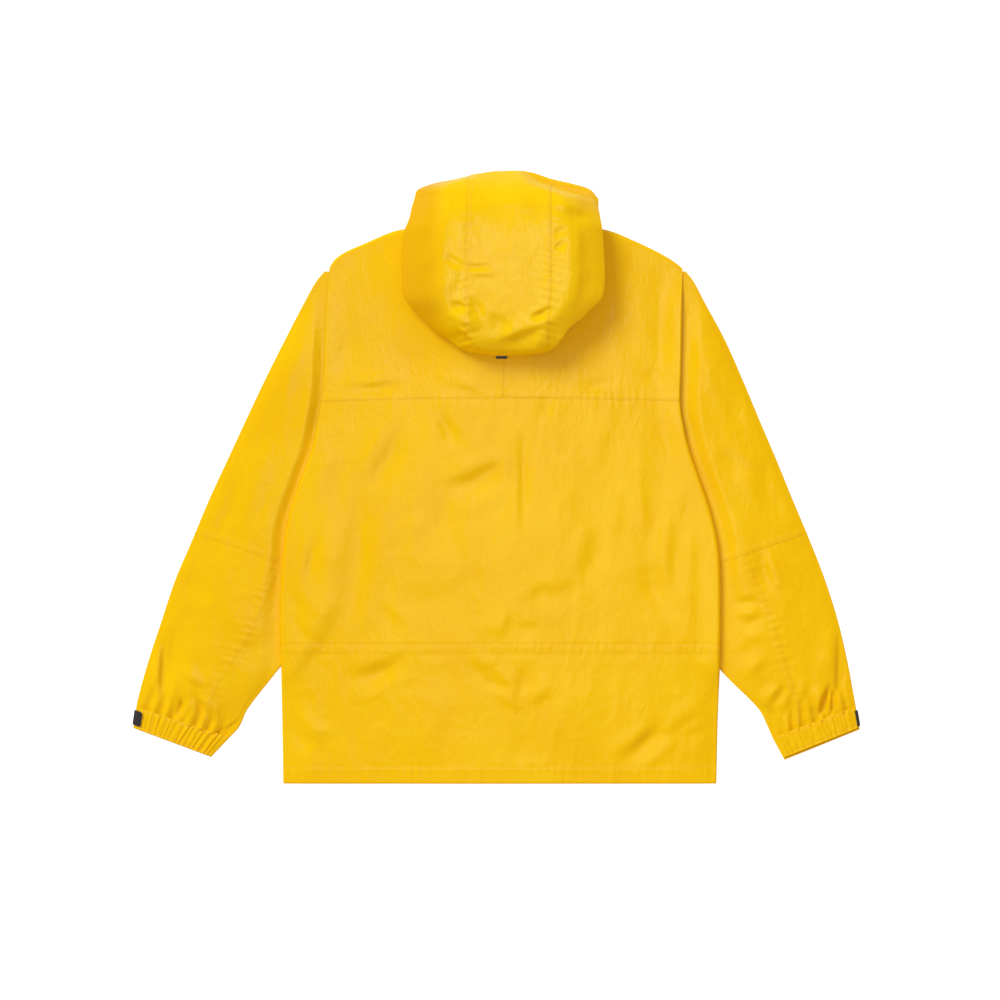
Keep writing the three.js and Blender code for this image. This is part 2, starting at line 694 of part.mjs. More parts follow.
function cuff(side) {
  const rows = [0, 0.2, 0.8, 1].map((t) => {
    const { outer, inner } = cuffLine(side, t);
    const width = outer.distanceTo(inner);
    const top = cuffTop(width, t);
    const middle = new THREE.Vector2().lerpVectors(outer, inner, 0.5);
    const counts = { top: 21, round: 4, bottom: 3 };
    const fromOuter = halfLoop(outer, middle, (x, y, d) => (d ? top(d) : cuffFlat), cuffWall, counts);
    const fromInner = halfLoop(inner, middle, (x, y, d) => (d ? top(width - d) : cuffFlat), cuffWall, counts);
    return [...fromOuter.slice(0, -1), ...fromInner.reverse().slice(0, -1)];
  });
  return wall(`cuff_${side}`, colours.shade, rows, true);
}

// a short black tab that wraps the cuff's outer fold
function cuffTab(side) {
  const reach = tabReach[side];
  const rows = evenly(4).map((k) => lerp(tab.low, tab.high, k)).map((t) => {
    const { outer, inner } = cuffLine(side, t);
    const width = outer.distanceTo(inner);
    const way = new THREE.Vector2().subVectors(inner, outer).normalize();
    const radius = cuffFlat / 2;
    const top = cuffTop(width, t);
    const places = [];
    for (const k of evenly(3)) {
      const distance = lerp(reach.over, radius, k);
      const eased = smoothstep(distance, radius, radius + 6);
      places.push({ distance, z: lerp(2 * radius, top(distance), eased), angle: Math.PI / 2 });
    }
    for (const k of evenly(4).slice(1)) {
      const angle = Math.PI / 2 + (Math.PI / 2) * reach.under * k;
      places.push({ distance: radius, z: radius, angle, arc: true });
    }
    return places.map((place) => {
      const at = (lift) => {
        const r = place.arc ? radius + lift : lift;
        return new THREE.Vector3(
          outer.x + way.x * (place.distance + r * Math.cos(place.angle)),
          outer.y + way.y * (place.distance + r * Math.cos(place.angle)),
          place.z + r * Math.sin(place.angle),
        );
      };
      return { out: at(seamGap + tab.lift + tab.thickness), in: at(seamGap + tab.lift) };
    });
  });
  return wall(`cuff_tab_${side}`, colours.black, rows);
}

// ---- the hood ----

const hoodAt = (column, y) => along(hoodSections, 'y', column, y);
const rimHeight = (y) => lerp(hoodRim.back, hoodRim.top, smoothstep(y, 330, 352));

// a point on the hood's outer face: angle 180 at the left rim, 90 over the crown, 0 at the right rim
function hoodPoint(y, angle) {
  const left = hoodAt('left', y);
  const right = hoodAt('right', y);
  const cos = Math.cos(angle);
  const sin = Math.max(Math.sin(angle), 0);
  const power = 2 / hoodArch;
  return new THREE.Vector3(
    (left + right) / 2 + ((right - left) / 2) * Math.sign(cos) * Math.abs(cos) ** power,
    y,
    rimHeight(y) + hoodAt('crown', y) * sin ** power,
  );
}

function hoodAngle(y, x) {
  const left = hoodAt('left', y);
  const right = hoodAt('right', y);
  const share = THREE.MathUtils.clamp((2 * x - left - right) / (right - left), -1, 1);
  return Math.acos(Math.sign(share) * Math.abs(share) ** (hoodArch / 2));
}

function hoodPlace(y, angle) {
  const step = 0.4;
  const low = Math.max(y - step, hoodSections[0].y);
  const high = Math.min(y + step, hoodSections[hoodSections.length - 1].y);
  const turn = 0.01;
  const alongY = hoodPoint(high, angle).sub(hoodPoint(low, angle));
  const acrossX = hoodPoint(y, Math.max(angle - turn, 0)).sub(hoodPoint(y, Math.min(angle + turn, Math.PI)));
  const normal = acrossX.cross(alongY).normalize();
  const out = hoodPoint(y, angle);
  return { out, in: out.clone().addScaledVector(normal, -cloth) };
}

function hoodPanels() {
  const seamStart = 176;
  const bottom = hoodSections[0].y;
  const top = hoodSections[hoodSections.length - 1].y;
  const seamAt = (side, y, offset) => hoodAngle(y, along(hoodSeams, 'y', side, y) + offset);
  const centreYs = [bottom, 165.5, 168, 172, seamStart, 184, 196, 212, 230, 250, 275, 300, 325];
  centreYs.push(348, 366, 380, 391, 399, 406, 411, top);
  const sideYs = [178.5, 190, 204, 220, 236, 252, 275, 300, 325, 348, 366, 380, 390, 397, 404];
  const centre = centreYs.map((y) => {
    const open = smoothstep(y, 172, seamStart);
    const from = lerp(Math.PI, seamAt('left', y, seamGap / 2), open);
    const to = lerp(0, seamAt('right', y, -seamGap / 2), open);
    return evenly(12).map((t) => hoodPlace(y, lerp(from, to, t)));
  });
  const left = sideYs.map((y) => {
    const from = seamAt('left', y, -seamGap / 2);
    return evenly(8).map((t) => hoodPlace(y, lerp(from, Math.PI, t)));
  });
  const right = sideYs.slice(0, -2).map((y) => {
    const from = seamAt('right', y, seamGap / 2);
    return evenly(8).map((t) => hoodPlace(y, lerp(from, 0, t)));
  });
  return [
    wall('hood_centre', colours.shell, centre),
    wall('hood_left', colours.shade, left),
    wall('hood_right', colours.shade, right),
  ];
}

// what the hood rests on: the yoke, the surface past the neckline, then its own turned front edge
function underHood(x, y) {
  if (y > neckline.brim) return brimRest;
  if (y > neckline.yoke) return 0;
  return lerp(yokeRest.middle, yokeRest.sides, smoothstep(Math.abs(x - backCentre), 60, 100));
}

// the folded layers under the hood's outer panels, one soft solid with layered edges
function hoodFolds() {
  const levels = [167.7, 170, 176, 184, 196, 212, 232, 256, 284, 312, 338];
  levels.push(341.5, 342.5, 359.5, 360.5, 370, 380, 391);
  const sections = levels.map((y) => {
    const near = Math.max(y - 4, hoodSections[0].y);
    const left = hoodAt('left', near) + foldEdge.ease;
    const right = hoodAt('right', near) - foldEdge.ease;
    const late = smoothstep(y, 366, 391);
    const narrowed = {
      left: lerp(left, left + 8, late),
      right: lerp(right, Math.min(right, hoodAt('right', y) - 6), late),
    };
    const rim = rimHeight(y) - 0.4;
    const crown = Math.max(hoodAt('crown', near) - 5 - 4 * late, 1);
    const mid = (narrowed.left + narrowed.right) / 2;
    const half = (narrowed.right - narrowed.left) / 2;
    const edge = (side) => {
      const base = underHood(mid + side * half, y);
      return [
        { inset: foldEdge.layer, z: base },
        { inset: -1, z: lerp(base, rim, 0.22) },
        { inset: foldEdge.soft, z: lerp(base, rim, 0.48) },
        { inset: 0, z: lerp(base, rim, 0.74) },
        { inset: foldEdge.lip, z: rim },
      ].map(({ inset, z }) => new THREE.Vector3(mid + side * (half - inset), y, z));
    };
    const dome = evenly(14).slice(1, -1).map((t) => {
      const angle = Math.PI * (1 - t);
      const power = 2 / hoodArch;
      const cos = Math.cos(angle);
      return new THREE.Vector3(
        mid + (half - foldEdge.lip) * Math.sign(cos) * Math.abs(cos) ** power,
        y,
        rim + crown * Math.sin(angle) ** power,
      );
    });
    const floor = evenly(8).slice(1, -1).map((t) => {
      const x = lerp(mid + half - foldEdge.layer, mid - half + foldEdge.layer, t);
      return new THREE.Vector3(x, y, underHood(x, y));
    });
    return [...edge(-1), ...dome, ...edge(1).reverse(), ...floor];
  });
  return loft('hood_folds', colours.shade, sections);
}

function hoodBrim() {
  const rows = evenly(22).map((t) => {
    const x = lerp(brimEdge[0].x, brimEdge[brimEdge.length - 1].x, t);
    const edgeY = along(brimEdge, 'x', 'y', x);
    const middle = (brimEdge[0].x + brimEdge[brimEdge.length - 1].x) / 2;
    const bend = Math.abs(x - middle) / 130;
    return [0, 0.12, 0.45, 1].map((k) => {
      const y = edgeY - brim.width * k * (1 - 0.35 * bend);
      const z = brim.thickness + brim.rise * Math.sin(Math.min(k * 3, 1) * Math.PI / 2);
      return { out: new THREE.Vector3(x, y, z), in: new THREE.Vector3(x, y, z - brim.thickness) };
    });
  });
  return wall('hood_brim', colours.shell, rows);
}

function hoodTab() {
  const { width, length, thickness, low, left } = hoodTabSize;
  const rows = evenly(2).map((t) => {
    const y = low + length * t;
    return evenly(4).map((u) => {
      const x = backCentre - left + width * (u - 0.5);
      const z = backTop(x, y) + seamGap + 0.1;
      return { out: new THREE.Vector3(x, y, z + thickness), in: new THREE.Vector3(x, y, z) };
    });
  });
  return wall('hood_tab', colours.black, rows);
}

// ---- the parka ----

const parka = new THREE.Group();
parka.name = 'parka';
const sides = ['left', 'right'];
parka.add(backPanel(), backLower(), ...sides.map(yoke));
parka.add(...sides.map(front), stormFlap(), ...snaps());
for (const side of sides) {
  parka.add(upperSleevePiece(side), ...forearmPieces(side), cuff(side), cuffTab(side));
}
parka.add(...hoodPanels(), hoodFolds(), hoodBrim(), hoodTab());

// the origin is the middle of the surface it covers
const extent = new THREE.Box3().setFromObject(parka);
const middle = extent.getCenter(new THREE.Vector3());
parka.position.set(-middle.x, -middle.y, -extent.min.z);

export default parka;
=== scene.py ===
import math
import bpy
import bmesh
import numpy as np
from mathutils import Matrix, Vector


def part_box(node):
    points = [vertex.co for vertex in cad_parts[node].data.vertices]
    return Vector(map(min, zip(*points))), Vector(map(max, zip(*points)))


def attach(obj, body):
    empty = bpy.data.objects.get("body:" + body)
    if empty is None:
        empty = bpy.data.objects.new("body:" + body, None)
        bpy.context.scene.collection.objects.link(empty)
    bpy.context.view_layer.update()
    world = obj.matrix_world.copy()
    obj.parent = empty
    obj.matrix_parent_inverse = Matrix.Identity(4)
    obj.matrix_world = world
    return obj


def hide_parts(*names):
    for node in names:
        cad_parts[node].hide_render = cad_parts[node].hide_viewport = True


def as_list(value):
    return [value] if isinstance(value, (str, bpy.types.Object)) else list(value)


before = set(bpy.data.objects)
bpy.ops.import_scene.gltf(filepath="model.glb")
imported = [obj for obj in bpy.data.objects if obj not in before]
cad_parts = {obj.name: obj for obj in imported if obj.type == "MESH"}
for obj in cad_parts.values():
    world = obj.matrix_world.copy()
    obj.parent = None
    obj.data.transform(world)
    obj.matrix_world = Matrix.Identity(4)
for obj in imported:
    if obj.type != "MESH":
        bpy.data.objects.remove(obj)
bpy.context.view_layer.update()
mm = 0.001
print("frame loaded:", len(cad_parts), "solids")

# Everything below is in millimetres on the parka, until a mesh is written.
garment = {
    "cloth": 1.4,  # wall of the shell cloth
    "seamGap": 0.3,
    "looseness": 1.6,  # how far the back floats over the front
    "loft": 3.4,  # air under the middle of the back
    "backCentre": 9,
    "frontCentre": 5,
    "hemY": -416.5,
    "waistY": -227,
    "sleeveFlat": 3.4,
    "sleeveOpen": 7.0,  # how far a sleeve stands open along its middle
    "edgeEase": 34,
    "coarse": 1.0,
}
sleeveRest = garment["sleeveFlat"] + garment["seamGap"]
flapRest = garment["cloth"] + garment["seamGap"]

bodySides = {
    "y": [-417, -330, -250, -180, -103, -48, 8, 34, 71, 102, 150, 213, 286],
    "left": [-290, -291.5, -293, -294, -290, -281, -262, -252, -244, -238, -234, -232, -227],
    "right": [299, 301, 304, 305, 303, 292, 273, 264, 254, 250, 251, 252, 253],
}
topLine = {
    "x": [-227, -220, -206, -179, -138, -112, -70, 9, 90, 132, 154, 182, 222, 242, 253],
    "y": [286, 296, 306, 318, 335, 337, 328, 323, 328, 337, 335, 324, 305, 293, 284],
}
sleeveOuter = {
    "y": [-330, -303, -249, -194, -140, -86, -31, 23, 77, 132, 186, 240, 268, 286],
    "left": [-492.5, -488, -473, -455, -437, -414, -391, -366, -341, -315, -288, -260, -244, -228],
    "right": [492, 487, 477, 464, 447, 426, 403, 381, 358, 335, 311, 282, 267, 252],
}
underarm = {
    "y": [-380, -356, -340, -315, -266, -220, -160, -103, -48, 0, 40, 71, 102, 150, 286],
    "left": [-387, -365, -350, -338, -300, -266, -242, -236, -249, -254, -243, -237, -231, -227, -221],
    "right": [388, 376, 369, 356, 308, 275, 252, 247, 260, 265, 254, 247, 243, 244, 247],
}

# shared helpers


def lerp(a, b, t):
    return a + (b - a) * t


def smooth(x, low, high):
    t = np.clip((x - low) / (high - low), 0, 1)
    return t * t * (3 - 2 * t)


def along(table, key, column, at):  # a column of a table on a smooth curve through its rows
    places = np.array(table[key], float)
    values = np.array(table[column], float)
    last = len(places) - 1
    before = np.maximum(np.arange(last + 1) - 1, 0)
    after = np.minimum(np.arange(last + 1) + 1, last)
    slopes = (values[after] - values[before]) / (places[after] - places[before])
    at = np.clip(at, places[0], places[-1])
    i = np.clip(np.searchsorted(places, at, side="right") - 1, 0, last - 1)
    span = places[i + 1] - places[i]
    t = (at - places[i]) / span
    return (
        values[i] * (2 * t**3 - 3 * t**2 + 1)
        + values[i + 1] * (3 * t**2 - 2 * t**3)
        + slopes[i] * span * (t**3 - 2 * t**2 + t)
        + slopes[i + 1] * span * (t**3 - t**2)
    )


foldEase = 2.1


def foldSum(folds, x, y, facet=False):  # soft folds: x, y, direction, half length, half width, rise, bend
    total = np.zeros_like(x)
    for foldX, foldY, angle, half, width, rise, bend in folds:
        cos, sin = math.cos(math.radians(angle)), math.sin(math.radians(angle))
        t = ((x - foldX) * cos + (y - foldY) * sin) / half
        w = ((y - foldY) * cos - (x - foldX) * sin - bend * half * (t * t - 0.3)) / width
        if facet:  # the cloth leans one way across the line and comes back slowly
            profile = 1.65 * w * np.exp(-np.abs(w) ** 1.6 / 1.6)
        else:
            w = np.where(w * rise < 0, w, w / foldEase)  # steep on one side, easy on the other
            profile = 1.35 * np.exp(-w * w) - 0.35 * np.exp(-w * w / 3.6)  # a low shoulder on both sides
        total += rise * np.clip(1 - t * t, 0, None) ** 2 * profile
    return total


def latticeValue(i, j, seed):
    h = np.sin(i * 127.1 + j * 311.7 + seed * 74.7) * 43758.5453
    return 2 * (h - np.floor(h)) - 1


def softNoise(x, y, seed):
    i, j = np.floor(x), np.floor(y)
    u, v = x - i, y - j
    u, v = u * u * u * (u * (6 * u - 15) + 10), v * v * v * (v * (6 * v - 15) + 10)
    low = lerp(latticeValue(i, j, seed), latticeValue(i + 1, j, seed), u)
    high = lerp(latticeValue(i, j + 1, seed), latticeValue(i + 1, j + 1, seed), u)
    return lerp(low, high, v)


def crinkle(x, y, seed):  # the uneven lie of crisp cloth, longer along the warp than across it
    big = softNoise(x / 58, y / 84, seed)
    middle = 1 - 2 * np.abs(softNoise(x / 30 + 0.5 * big, y / 46, seed + 1))
    fine = 1 - 2 * np.abs(softNoise(x / 13 + 0.7 * middle, y / 19 + 0.5 * big, seed + 2))
    tiny = softNoise(x / 6.5 + fine, y / 8, seed + 3)
    return 0.75 * big + 0.34 * middle + 0.17 * fine + 0.07 * tiny


def pucker(at, seed):  # ripple that the thread draws up along a seam
    wave = np.sin(at / 1.75 + 1.9 * softNoise(at / 16, at * 0 + 3, seed))
    return wave * (0.55 + 0.45 * softNoise(at / 37, at * 0 + 7, seed + 5))


def sideEdge(side, y):
    return along(bodySides, "y", side, y)


def innerEdge(side, y):
    return along(underarm, "y", side, y)


def outerEdge(side, y):
    return along(sleeveOuter, "y", side, y)


def onSide(function, x, y):
    return np.where(x < garment["backCentre"], function("left", y), function("right", y))


def evenly(start, end, step):
    step = step * garment["coarse"]
    return np.linspace(start, end, max(int(round(abs(end - start) / step)), 1) + 1)


def stops(*spans):  # a list of places from spans of (start, end, step), each place once
    places = np.concatenate([evenly(*span) for span in spans])
    return np.unique(np.round(places, 5))


boxLow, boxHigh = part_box("storm_flap")
shift = Vector(((boxLow.x + boxHigh.x) / 2 / mm - 5, (boxLow.y + boxHigh.y) / 2 / mm + 46.5, 0))


def readPoints(mesh):
    flat = np.empty(len(mesh.vertices) * 3)
    mesh.vertices.foreach_get("co", flat)
    return flat.reshape(-1, 3)


def showPiece(name, mesh, material, nodes):
    piece = bpy.data.objects.new(name, mesh)
    bpy.context.scene.collection.objects.link(piece)
    mesh.materials.append(material)
    mesh.polygons.foreach_set("use_smooth", [True] * len(mesh.polygons))
    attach(piece, "root")
    if nodes:
        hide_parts(*nodes)
    return piece


def makeCloth(name, columns, rows, surface, thickness=None, up=True, edge=None, closed=False, material=None):
    thickness = garment["cloth"] if thickness is None else thickness
    bm = bmesh.new()
    bm.loops.layers.uv.new("cloth")
    across, upward = len(columns) - 1, len(rows) - 1
    bmesh.ops.create_grid(bm, x_segments=across, y_segments=upward, size=0.5, calc_uvs=True)
    mesh = bpy.data.meshes.new(name)
    bm.to_mesh(mesh)
    bm.free()
    grid = readPoints(mesh)
    column = np.rint((grid[:, 0] + 0.5) * across).astype(int)
    row = np.rint((grid[:, 1] + 0.5) * upward).astype(int)
    u, v = columns[column], rows[row]
    places = surface(u, v)
    spread = np.empty((upward + 1, across + 1, 3))
    spread[row, column] = places * mm
    points = (places + np.array(shift)) * mm
    mesh.vertices.foreach_set("co", points.ravel())
    # the weave follows the cloth, so its map is in metres of cloth across and along
    middleRow = surface(columns, np.full(len(columns), rows[upward // 2]))
    middleColumn = surface(np.full(len(rows), columns[across // 2]), rows)
    alongRow = np.concatenate([[0], np.cumsum(np.linalg.norm(np.diff(middleRow, axis=0), axis=1))]) * mm
    alongColumn = np.concatenate([[0], np.cumsum(np.linalg.norm(np.diff(middleColumn, axis=0), axis=1))]) * mm
    layer = mesh.uv_layers["cloth"]
    uv = np.empty(len(layer.data) * 2)
    layer.data.foreach_get("uv", uv)
    uv = uv.reshape(-1, 2)
    uv[:, 0] = alongRow[np.rint(uv[:, 0] * across).astype(int)]
    uv[:, 1] = alongColumn[np.rint(uv[:, 1] * upward).astype(int)]
    layer.data.foreach_set("uv", uv.ravel())
    # the seam attribute holds each piece's seam shading and, on the hood, its painted shade
    seam = mesh.attributes.new("seam", "FLOAT", "POINT")
    seam.data.foreach_set("value", (edge(u, v, places) if edge else np.zeros(len(u))).astype(np.float32))
    mesh.update()
    bm = bmesh.new()
    bm.from_mesh(mesh)
    if closed:
        bmesh.ops.remove_doubles(bm, verts=bm.verts, dist=1e-6)
    bm.normal_update()
    bm.faces.ensure_lookup_table()
    # the first quarter of every piece's columns lies on its upper side
    low, high = min(columns), max(columns)
    test = surface(np.array([lerp(low, high, 0.25), lerp(low, high, 0.26), lerp(low, high, 0.25)]),
                   np.array([lerp(min(rows), max(rows), 0.5)] * 2 + [lerp(min(rows), max(rows), 0.51)]))
    facing = np.cross(test[1] - test[0], test[2] - test[0])[2]
    if (facing > 0) != up:
        bmesh.ops.reverse_faces(bm, faces=bm.faces)
    for rim in bm.edges:
        rim.smooth = not rim.is_boundary
    bm.to_mesh(mesh)
    bm.free()
    piece = showPiece(f"{name}_cloth", mesh, material or shellCloth, [name])
    wall = piece.modifiers.new("wall", "SOLIDIFY")
    wall.thickness = thickness * mm
    wall.offset = -1
    rowLengths = np.linalg.norm(np.diff(spread, axis=1), axis=2).sum(axis=1)
    columnLengths = np.linalg.norm(np.diff(spread, axis=0), axis=2).sum(axis=0)
    piece["flatSize"] = [float(rowLengths.max()), float(columnLengths.max())]
    return piece


def surfaceFrame(surface, u, v):  # a point on a surface with its outward normal
    step = 1e-4
    p = surface(u, v)
    du = surface(u + step, v) - surface(u - step, v)
    dv = surface(u, v + step) - surface(u, v - step)
    normal = np.cross(du, dv)
    normal /= np.linalg.norm(normal, axis=1)[:, None] + 1e-12
    normal *= np.where(normal[:, 2:3] < 0, -1, 1)
    return p, normal


thread = {"pitch": 4.0, "length": 3.0, "width": 0.7, "height": 0.55, "sink": 0.17, "batch": 40}


def stitchRun(surface, uLine, vLine):  # places of stitches along a line on a surface
    p = surface(uLine, vLine)
    lengths = np.concatenate([[0], np.cumsum(np.linalg.norm(np.diff(p, axis=0), axis=1))])
    middles = np.arange(thread["pitch"] / 2, lengths[-1], thread["pitch"])
    u, v = np.interp(middles, lengths, uLine), np.interp(middles, lengths, vLine)
    centre, normal = surfaceFrame(surface, u, v)
    half = thread["length"] / 2
    ends = [
        surface(np.interp(middles + d, lengths, uLine), np.interp(middles + d, lengths, vLine))
        for d in (-half, half)
    ]
    way = ends[1] - ends[0]
    way /= np.linalg.norm(way, axis=1)[:, None] + 1e-12
    return list(zip(centre, way, normal))


def makeStitches(name, runs):
    size = Matrix.Diagonal((thread["width"] / 2, thread["height"] / 2, thread["length"] / 2, 1))
    places = [stitch for run in runs for stitch in run]
    whole = bmesh.new()
    for first in range(0, len(places), thread["batch"]):
        bm = bmesh.new()  # a small batch at a time keeps the operator quick
        for centre, way, normal in places[first : first + thread["batch"]]:
            side = np.cross(normal, way)
            side /= np.linalg.norm(side) + 1e-12
            up = np.cross(way, side)
            at = centre + up * (thread["height"] / 2 - thread["sink"])
            turn = Matrix((
                (side[0], up[0], way[0], at[0] + shift.x),
                (side[1], up[1], way[1], at[1] + shift.y),
                (side[2], up[2], way[2], at[2]),
                (0, 0, 0, 1),
            ))
            place = Matrix.Scale(mm, 4) @ turn @ size
            bmesh.ops.create_uvsphere(bm, u_segments=6, v_segments=4, radius=1, matrix=place)
        batch = bpy.data.meshes.new("batch")
        bm.to_mesh(batch)
        bm.free()
        whole.from_mesh(batch)
        bpy.data.meshes.remove(batch)
    mesh = bpy.data.meshes.new(name)
    whole.to_mesh(mesh)
    whole.free()
    return showPiece(name, mesh, threadYellow, [])


# finishes


def newGroup(name, inputs, outputs):
    group = bpy.data.node_groups.new(name, "ShaderNodeTree")
    for label, kind, value in inputs:
        socket = group.interface.new_socket(label, in_out="INPUT", socket_type=kind)
        if value is not None:
            socket.default_value = value
    for label, kind in outputs:
        group.interface.new_socket(label, in_out="OUTPUT", socket_type=kind)
    nodes = group.nodes
    return group, nodes.new("NodeGroupInput"), nodes.new("NodeGroupOutput")


def mathNode(tree, operation, a, b=None):
    node = tree.nodes.new("ShaderNodeMath")
    node.operation = operation
    for socket, value in zip(node.inputs, (a, b)):
        if value is None:
            continue
        if isinstance(value, (int, float)):
            socket.default_value = value
        else:
            tree.links.new(value, socket)
    return node.outputs[0]


def stretched(tree, vector, scale):
    node = tree.nodes.new("ShaderNodeMapping")
    node.inputs["Scale"].default_value = scale
    tree.links.new(vector, node.inputs["Vector"])
    return node.outputs[0]


def noiseOf(tree, vector, scale, detail=2.0, roughness=0.5, distortion=0.0):
    node = tree.nodes.new("ShaderNodeTexNoise")
    node.inputs["Scale"].default_value = scale
    node.inputs["Detail"].default_value = detail
    node.inputs["Roughness"].default_value = roughness
    node.inputs["Distortion"].default_value = distortion
    tree.links.new(vector, node.inputs["Vector"])
    return node.outputs["Fac"]


def weaveGroup():  # plain weave with thicker threads here and there, on the cloth's own map
    group, given, put = newGroup(
        "plainWeave",
        [
            ("Cloth", "NodeSocketVector", None),
            ("Threads", "NodeSocketFloat", 1900.0),
            ("Slub", "NodeSocketFloat", 1.0),
        ],
        [("Height", "NodeSocketFloat"), ("Slub", "NodeSocketFloat")],
    )
    links = group.links
    scaled = group.nodes.new("ShaderNodeVectorMath")
    scaled.operation = "SCALE"
    links.new(given.outputs["Cloth"], scaled.inputs[0])
    links.new(given.outputs["Threads"], scaled.inputs["Scale"])
    parts = group.nodes.new("ShaderNodeSeparateXYZ")
    links.new(scaled.outputs[0], parts.inputs[0])
    warp = mathNode(group, "SINE", mathNode(group, "MULTIPLY", parts.outputs[0], math.pi))
    weft = mathNode(group, "SINE", mathNode(group, "MULTIPLY", parts.outputs[1], math.pi))
    over = mathNode(group, "MULTIPLY", warp, weft)
    slubWarp = noiseOf(group, stretched(group, given.outputs["Cloth"], (620, 22, 1)), 1.0, 3.0, 0.6)
    slubWeft = noiseOf(group, stretched(group, given.outputs["Cloth"], (30, 520, 1)), 1.0, 2.0, 0.5)
    warpShare = mathNode(group, "MULTIPLY", slubWarp, 0.72)
    slub = mathNode(group, "ADD", warpShare, mathNode(group, "MULTIPLY", slubWeft, 0.28))
    slub = mathNode(group, "MULTIPLY", mathNode(group, "SUBTRACT", slub, 0.5), given.outputs["Slub"])
    height = mathNode(group, "ADD", mathNode(group, "MULTIPLY", over, 0.1), slub)
    links.new(height, put.inputs["Height"])
    links.new(slub, put.inputs["Slub"])
    return group


def creaseGroup():  # fine crumpling of crisp cloth
    group, given, put = newGroup(
        "fineCrumple",
        [("Place", "NodeSocketVector", None), ("Scale", "NodeSocketFloat", 60.0)],
        [("Height", "NodeSocketFloat"), ("Patch", "NodeSocketFloat")],
    )
    links = group.links
    long = stretched(group, given.outputs["Place"], (1.5, 0.8, 1))
    node = group.nodes.new("ShaderNodeTexNoise")
    node.inputs["Detail"].default_value = 4
    node.inputs["Roughness"].default_value = 0.55
    node.inputs["Distortion"].default_value = 0.6
    links.new(long, node.inputs["Vector"])
    links.new(given.outputs["Scale"], node.inputs["Scale"])
    ridge = mathNode(group, "ABSOLUTE", mathNode(group, "SUBTRACT", node.outputs["Fac"], 0.5))
    height = mathNode(group, "SUBTRACT", 0.5, mathNode(group, "MULTIPLY", ridge, 2))
    patch = noiseOf(group, given.outputs["Place"], 9.0, 3.0, 0.55)
    links.new(height, put.inputs["Height"])
    links.new(patch, put.inputs["Patch"])
    return group


plainWeave = weaveGroup()
fineCrumple = creaseGroup()

shellFinish = {
    "colour": (0.92, 0.529, 0.0006, 1),
    "deep": (0.89, 0.47, 0.0003, 1),
    "pale": (0.945, 0.578, 0.002, 1),
    # painted shade colour, mixed in along the seams and on the hood's outer side zones
    "wearAndPaintedShade": (0.78, 0.38, 0.0003, 1),
    "threads": 1900.0,
    "roughness": 0.27,
}


def weaveOn(tree, threads):  # the weave runs along the piece's own cloth map
    clothMap = tree.nodes.new("ShaderNodeUVMap")
    clothMap.uv_map = "cloth"
    weave = tree.nodes.new("ShaderNodeGroup")
    weave.node_tree = plainWeave
    weave.inputs["Threads"].default_value = threads
    tree.links.new(clothMap.outputs["UV"], weave.inputs["Cloth"])
    return weave


def clothMaterial(name, finish):
    material = bpy.data.materials.new(name)
    material.use_nodes = True
    tree = material.node_tree
    links = tree.links
    shader = tree.nodes["Principled BSDF"]
    coordinates = tree.nodes.new("ShaderNodeTexCoord")
    weave = weaveOn(tree, finish["threads"])
    crumple = tree.nodes.new("ShaderNodeGroup")
    crumple.node_tree = fineCrumple
    links.new(coordinates.outputs["Object"], crumple.inputs["Place"])
    seam = tree.nodes.new("ShaderNodeAttribute")
    seam.attribute_name = "seam"
    # tone: slub streaks and broad patches; the seam attribute below mixes in painted shade along the seams and on
    # the hood's outer side zones
    tone = mathNode(tree, "ADD", mathNode(tree, "MULTIPLY", weave.outputs["Slub"], 0.7),
                    mathNode(tree, "MULTIPLY", mathNode(tree, "SUBTRACT", crumple.outputs["Patch"], 0.5), 0.9))
    tone = mathNode(tree, "ADD", tone, 0.5)
    ramp = tree.nodes.new("ShaderNodeValToRGB")
    ramp.color_ramp.elements[0].position = 0.1
    ramp.color_ramp.elements[0].color = finish["deep"]
    ramp.color_ramp.elements[1].position = 0.9
    ramp.color_ramp.elements[1].color = finish["pale"]
    middle = ramp.color_ramp.elements.new(0.5)
    middle.color = finish["colour"]
    links.new(tone, ramp.inputs["Fac"])
    # painted shade: the seam attribute mixes the cloth towards the darker shade colour
    inSeam = tree.nodes.new("ShaderNodeMix")
    inSeam.data_type = "RGBA"
    inSeam.inputs[7].default_value = finish["wearAndPaintedShade"]
    links.new(mathNode(tree, "MULTIPLY", seam.outputs["Fac"], 0.2), inSeam.inputs[0])
    links.new(ramp.outputs["Color"], inSeam.inputs[6])
    links.new(inSeam.outputs[2], shader.inputs["Base Color"])
    smoother = mathNode(tree, "MULTIPLY", weave.outputs["Slub"], -0.25)
    rough = mathNode(tree, "ADD", finish["roughness"], smoother)
    links.new(rough, shader.inputs["Roughness"])
    shader.inputs["Specular IOR Level"].default_value = 0.075
    creased = tree.nodes.new("ShaderNodeBump")
    creased.inputs["Distance"].default_value = 0.0011
    creased.inputs["Strength"].default_value = 0.55
    links.new(crumple.outputs["Height"], creased.inputs["Height"])
    woven = tree.nodes.new("ShaderNodeBump")
    woven.inputs["Distance"].default_value = 0.00022
    woven.inputs["Strength"].default_value = 0.6
    links.new(weave.outputs["Height"], woven.inputs["Height"])
    links.new(creased.outputs["Normal"], woven.inputs["Normal"])
    links.new(woven.outputs["Normal"], shader.inputs["Normal"])
    return material


shellCloth = clothMaterial("shellCloth", shellFinish)
# painted light: the hood's pieces get a lighter copy of the shell's colour, so the crown reads brighter than the
# rest
crownPaintedLight = {
    **shellFinish,
    "colour": (0.945, 0.58, 0.0008, 1),
    "deep": (0.92, 0.52, 0.0004, 1),
    "pale": (0.965, 0.625, 0.0025, 1),
}
crownPaintedLightCloth = clothMaterial("crownPaintedLightCloth", crownPaintedLight)


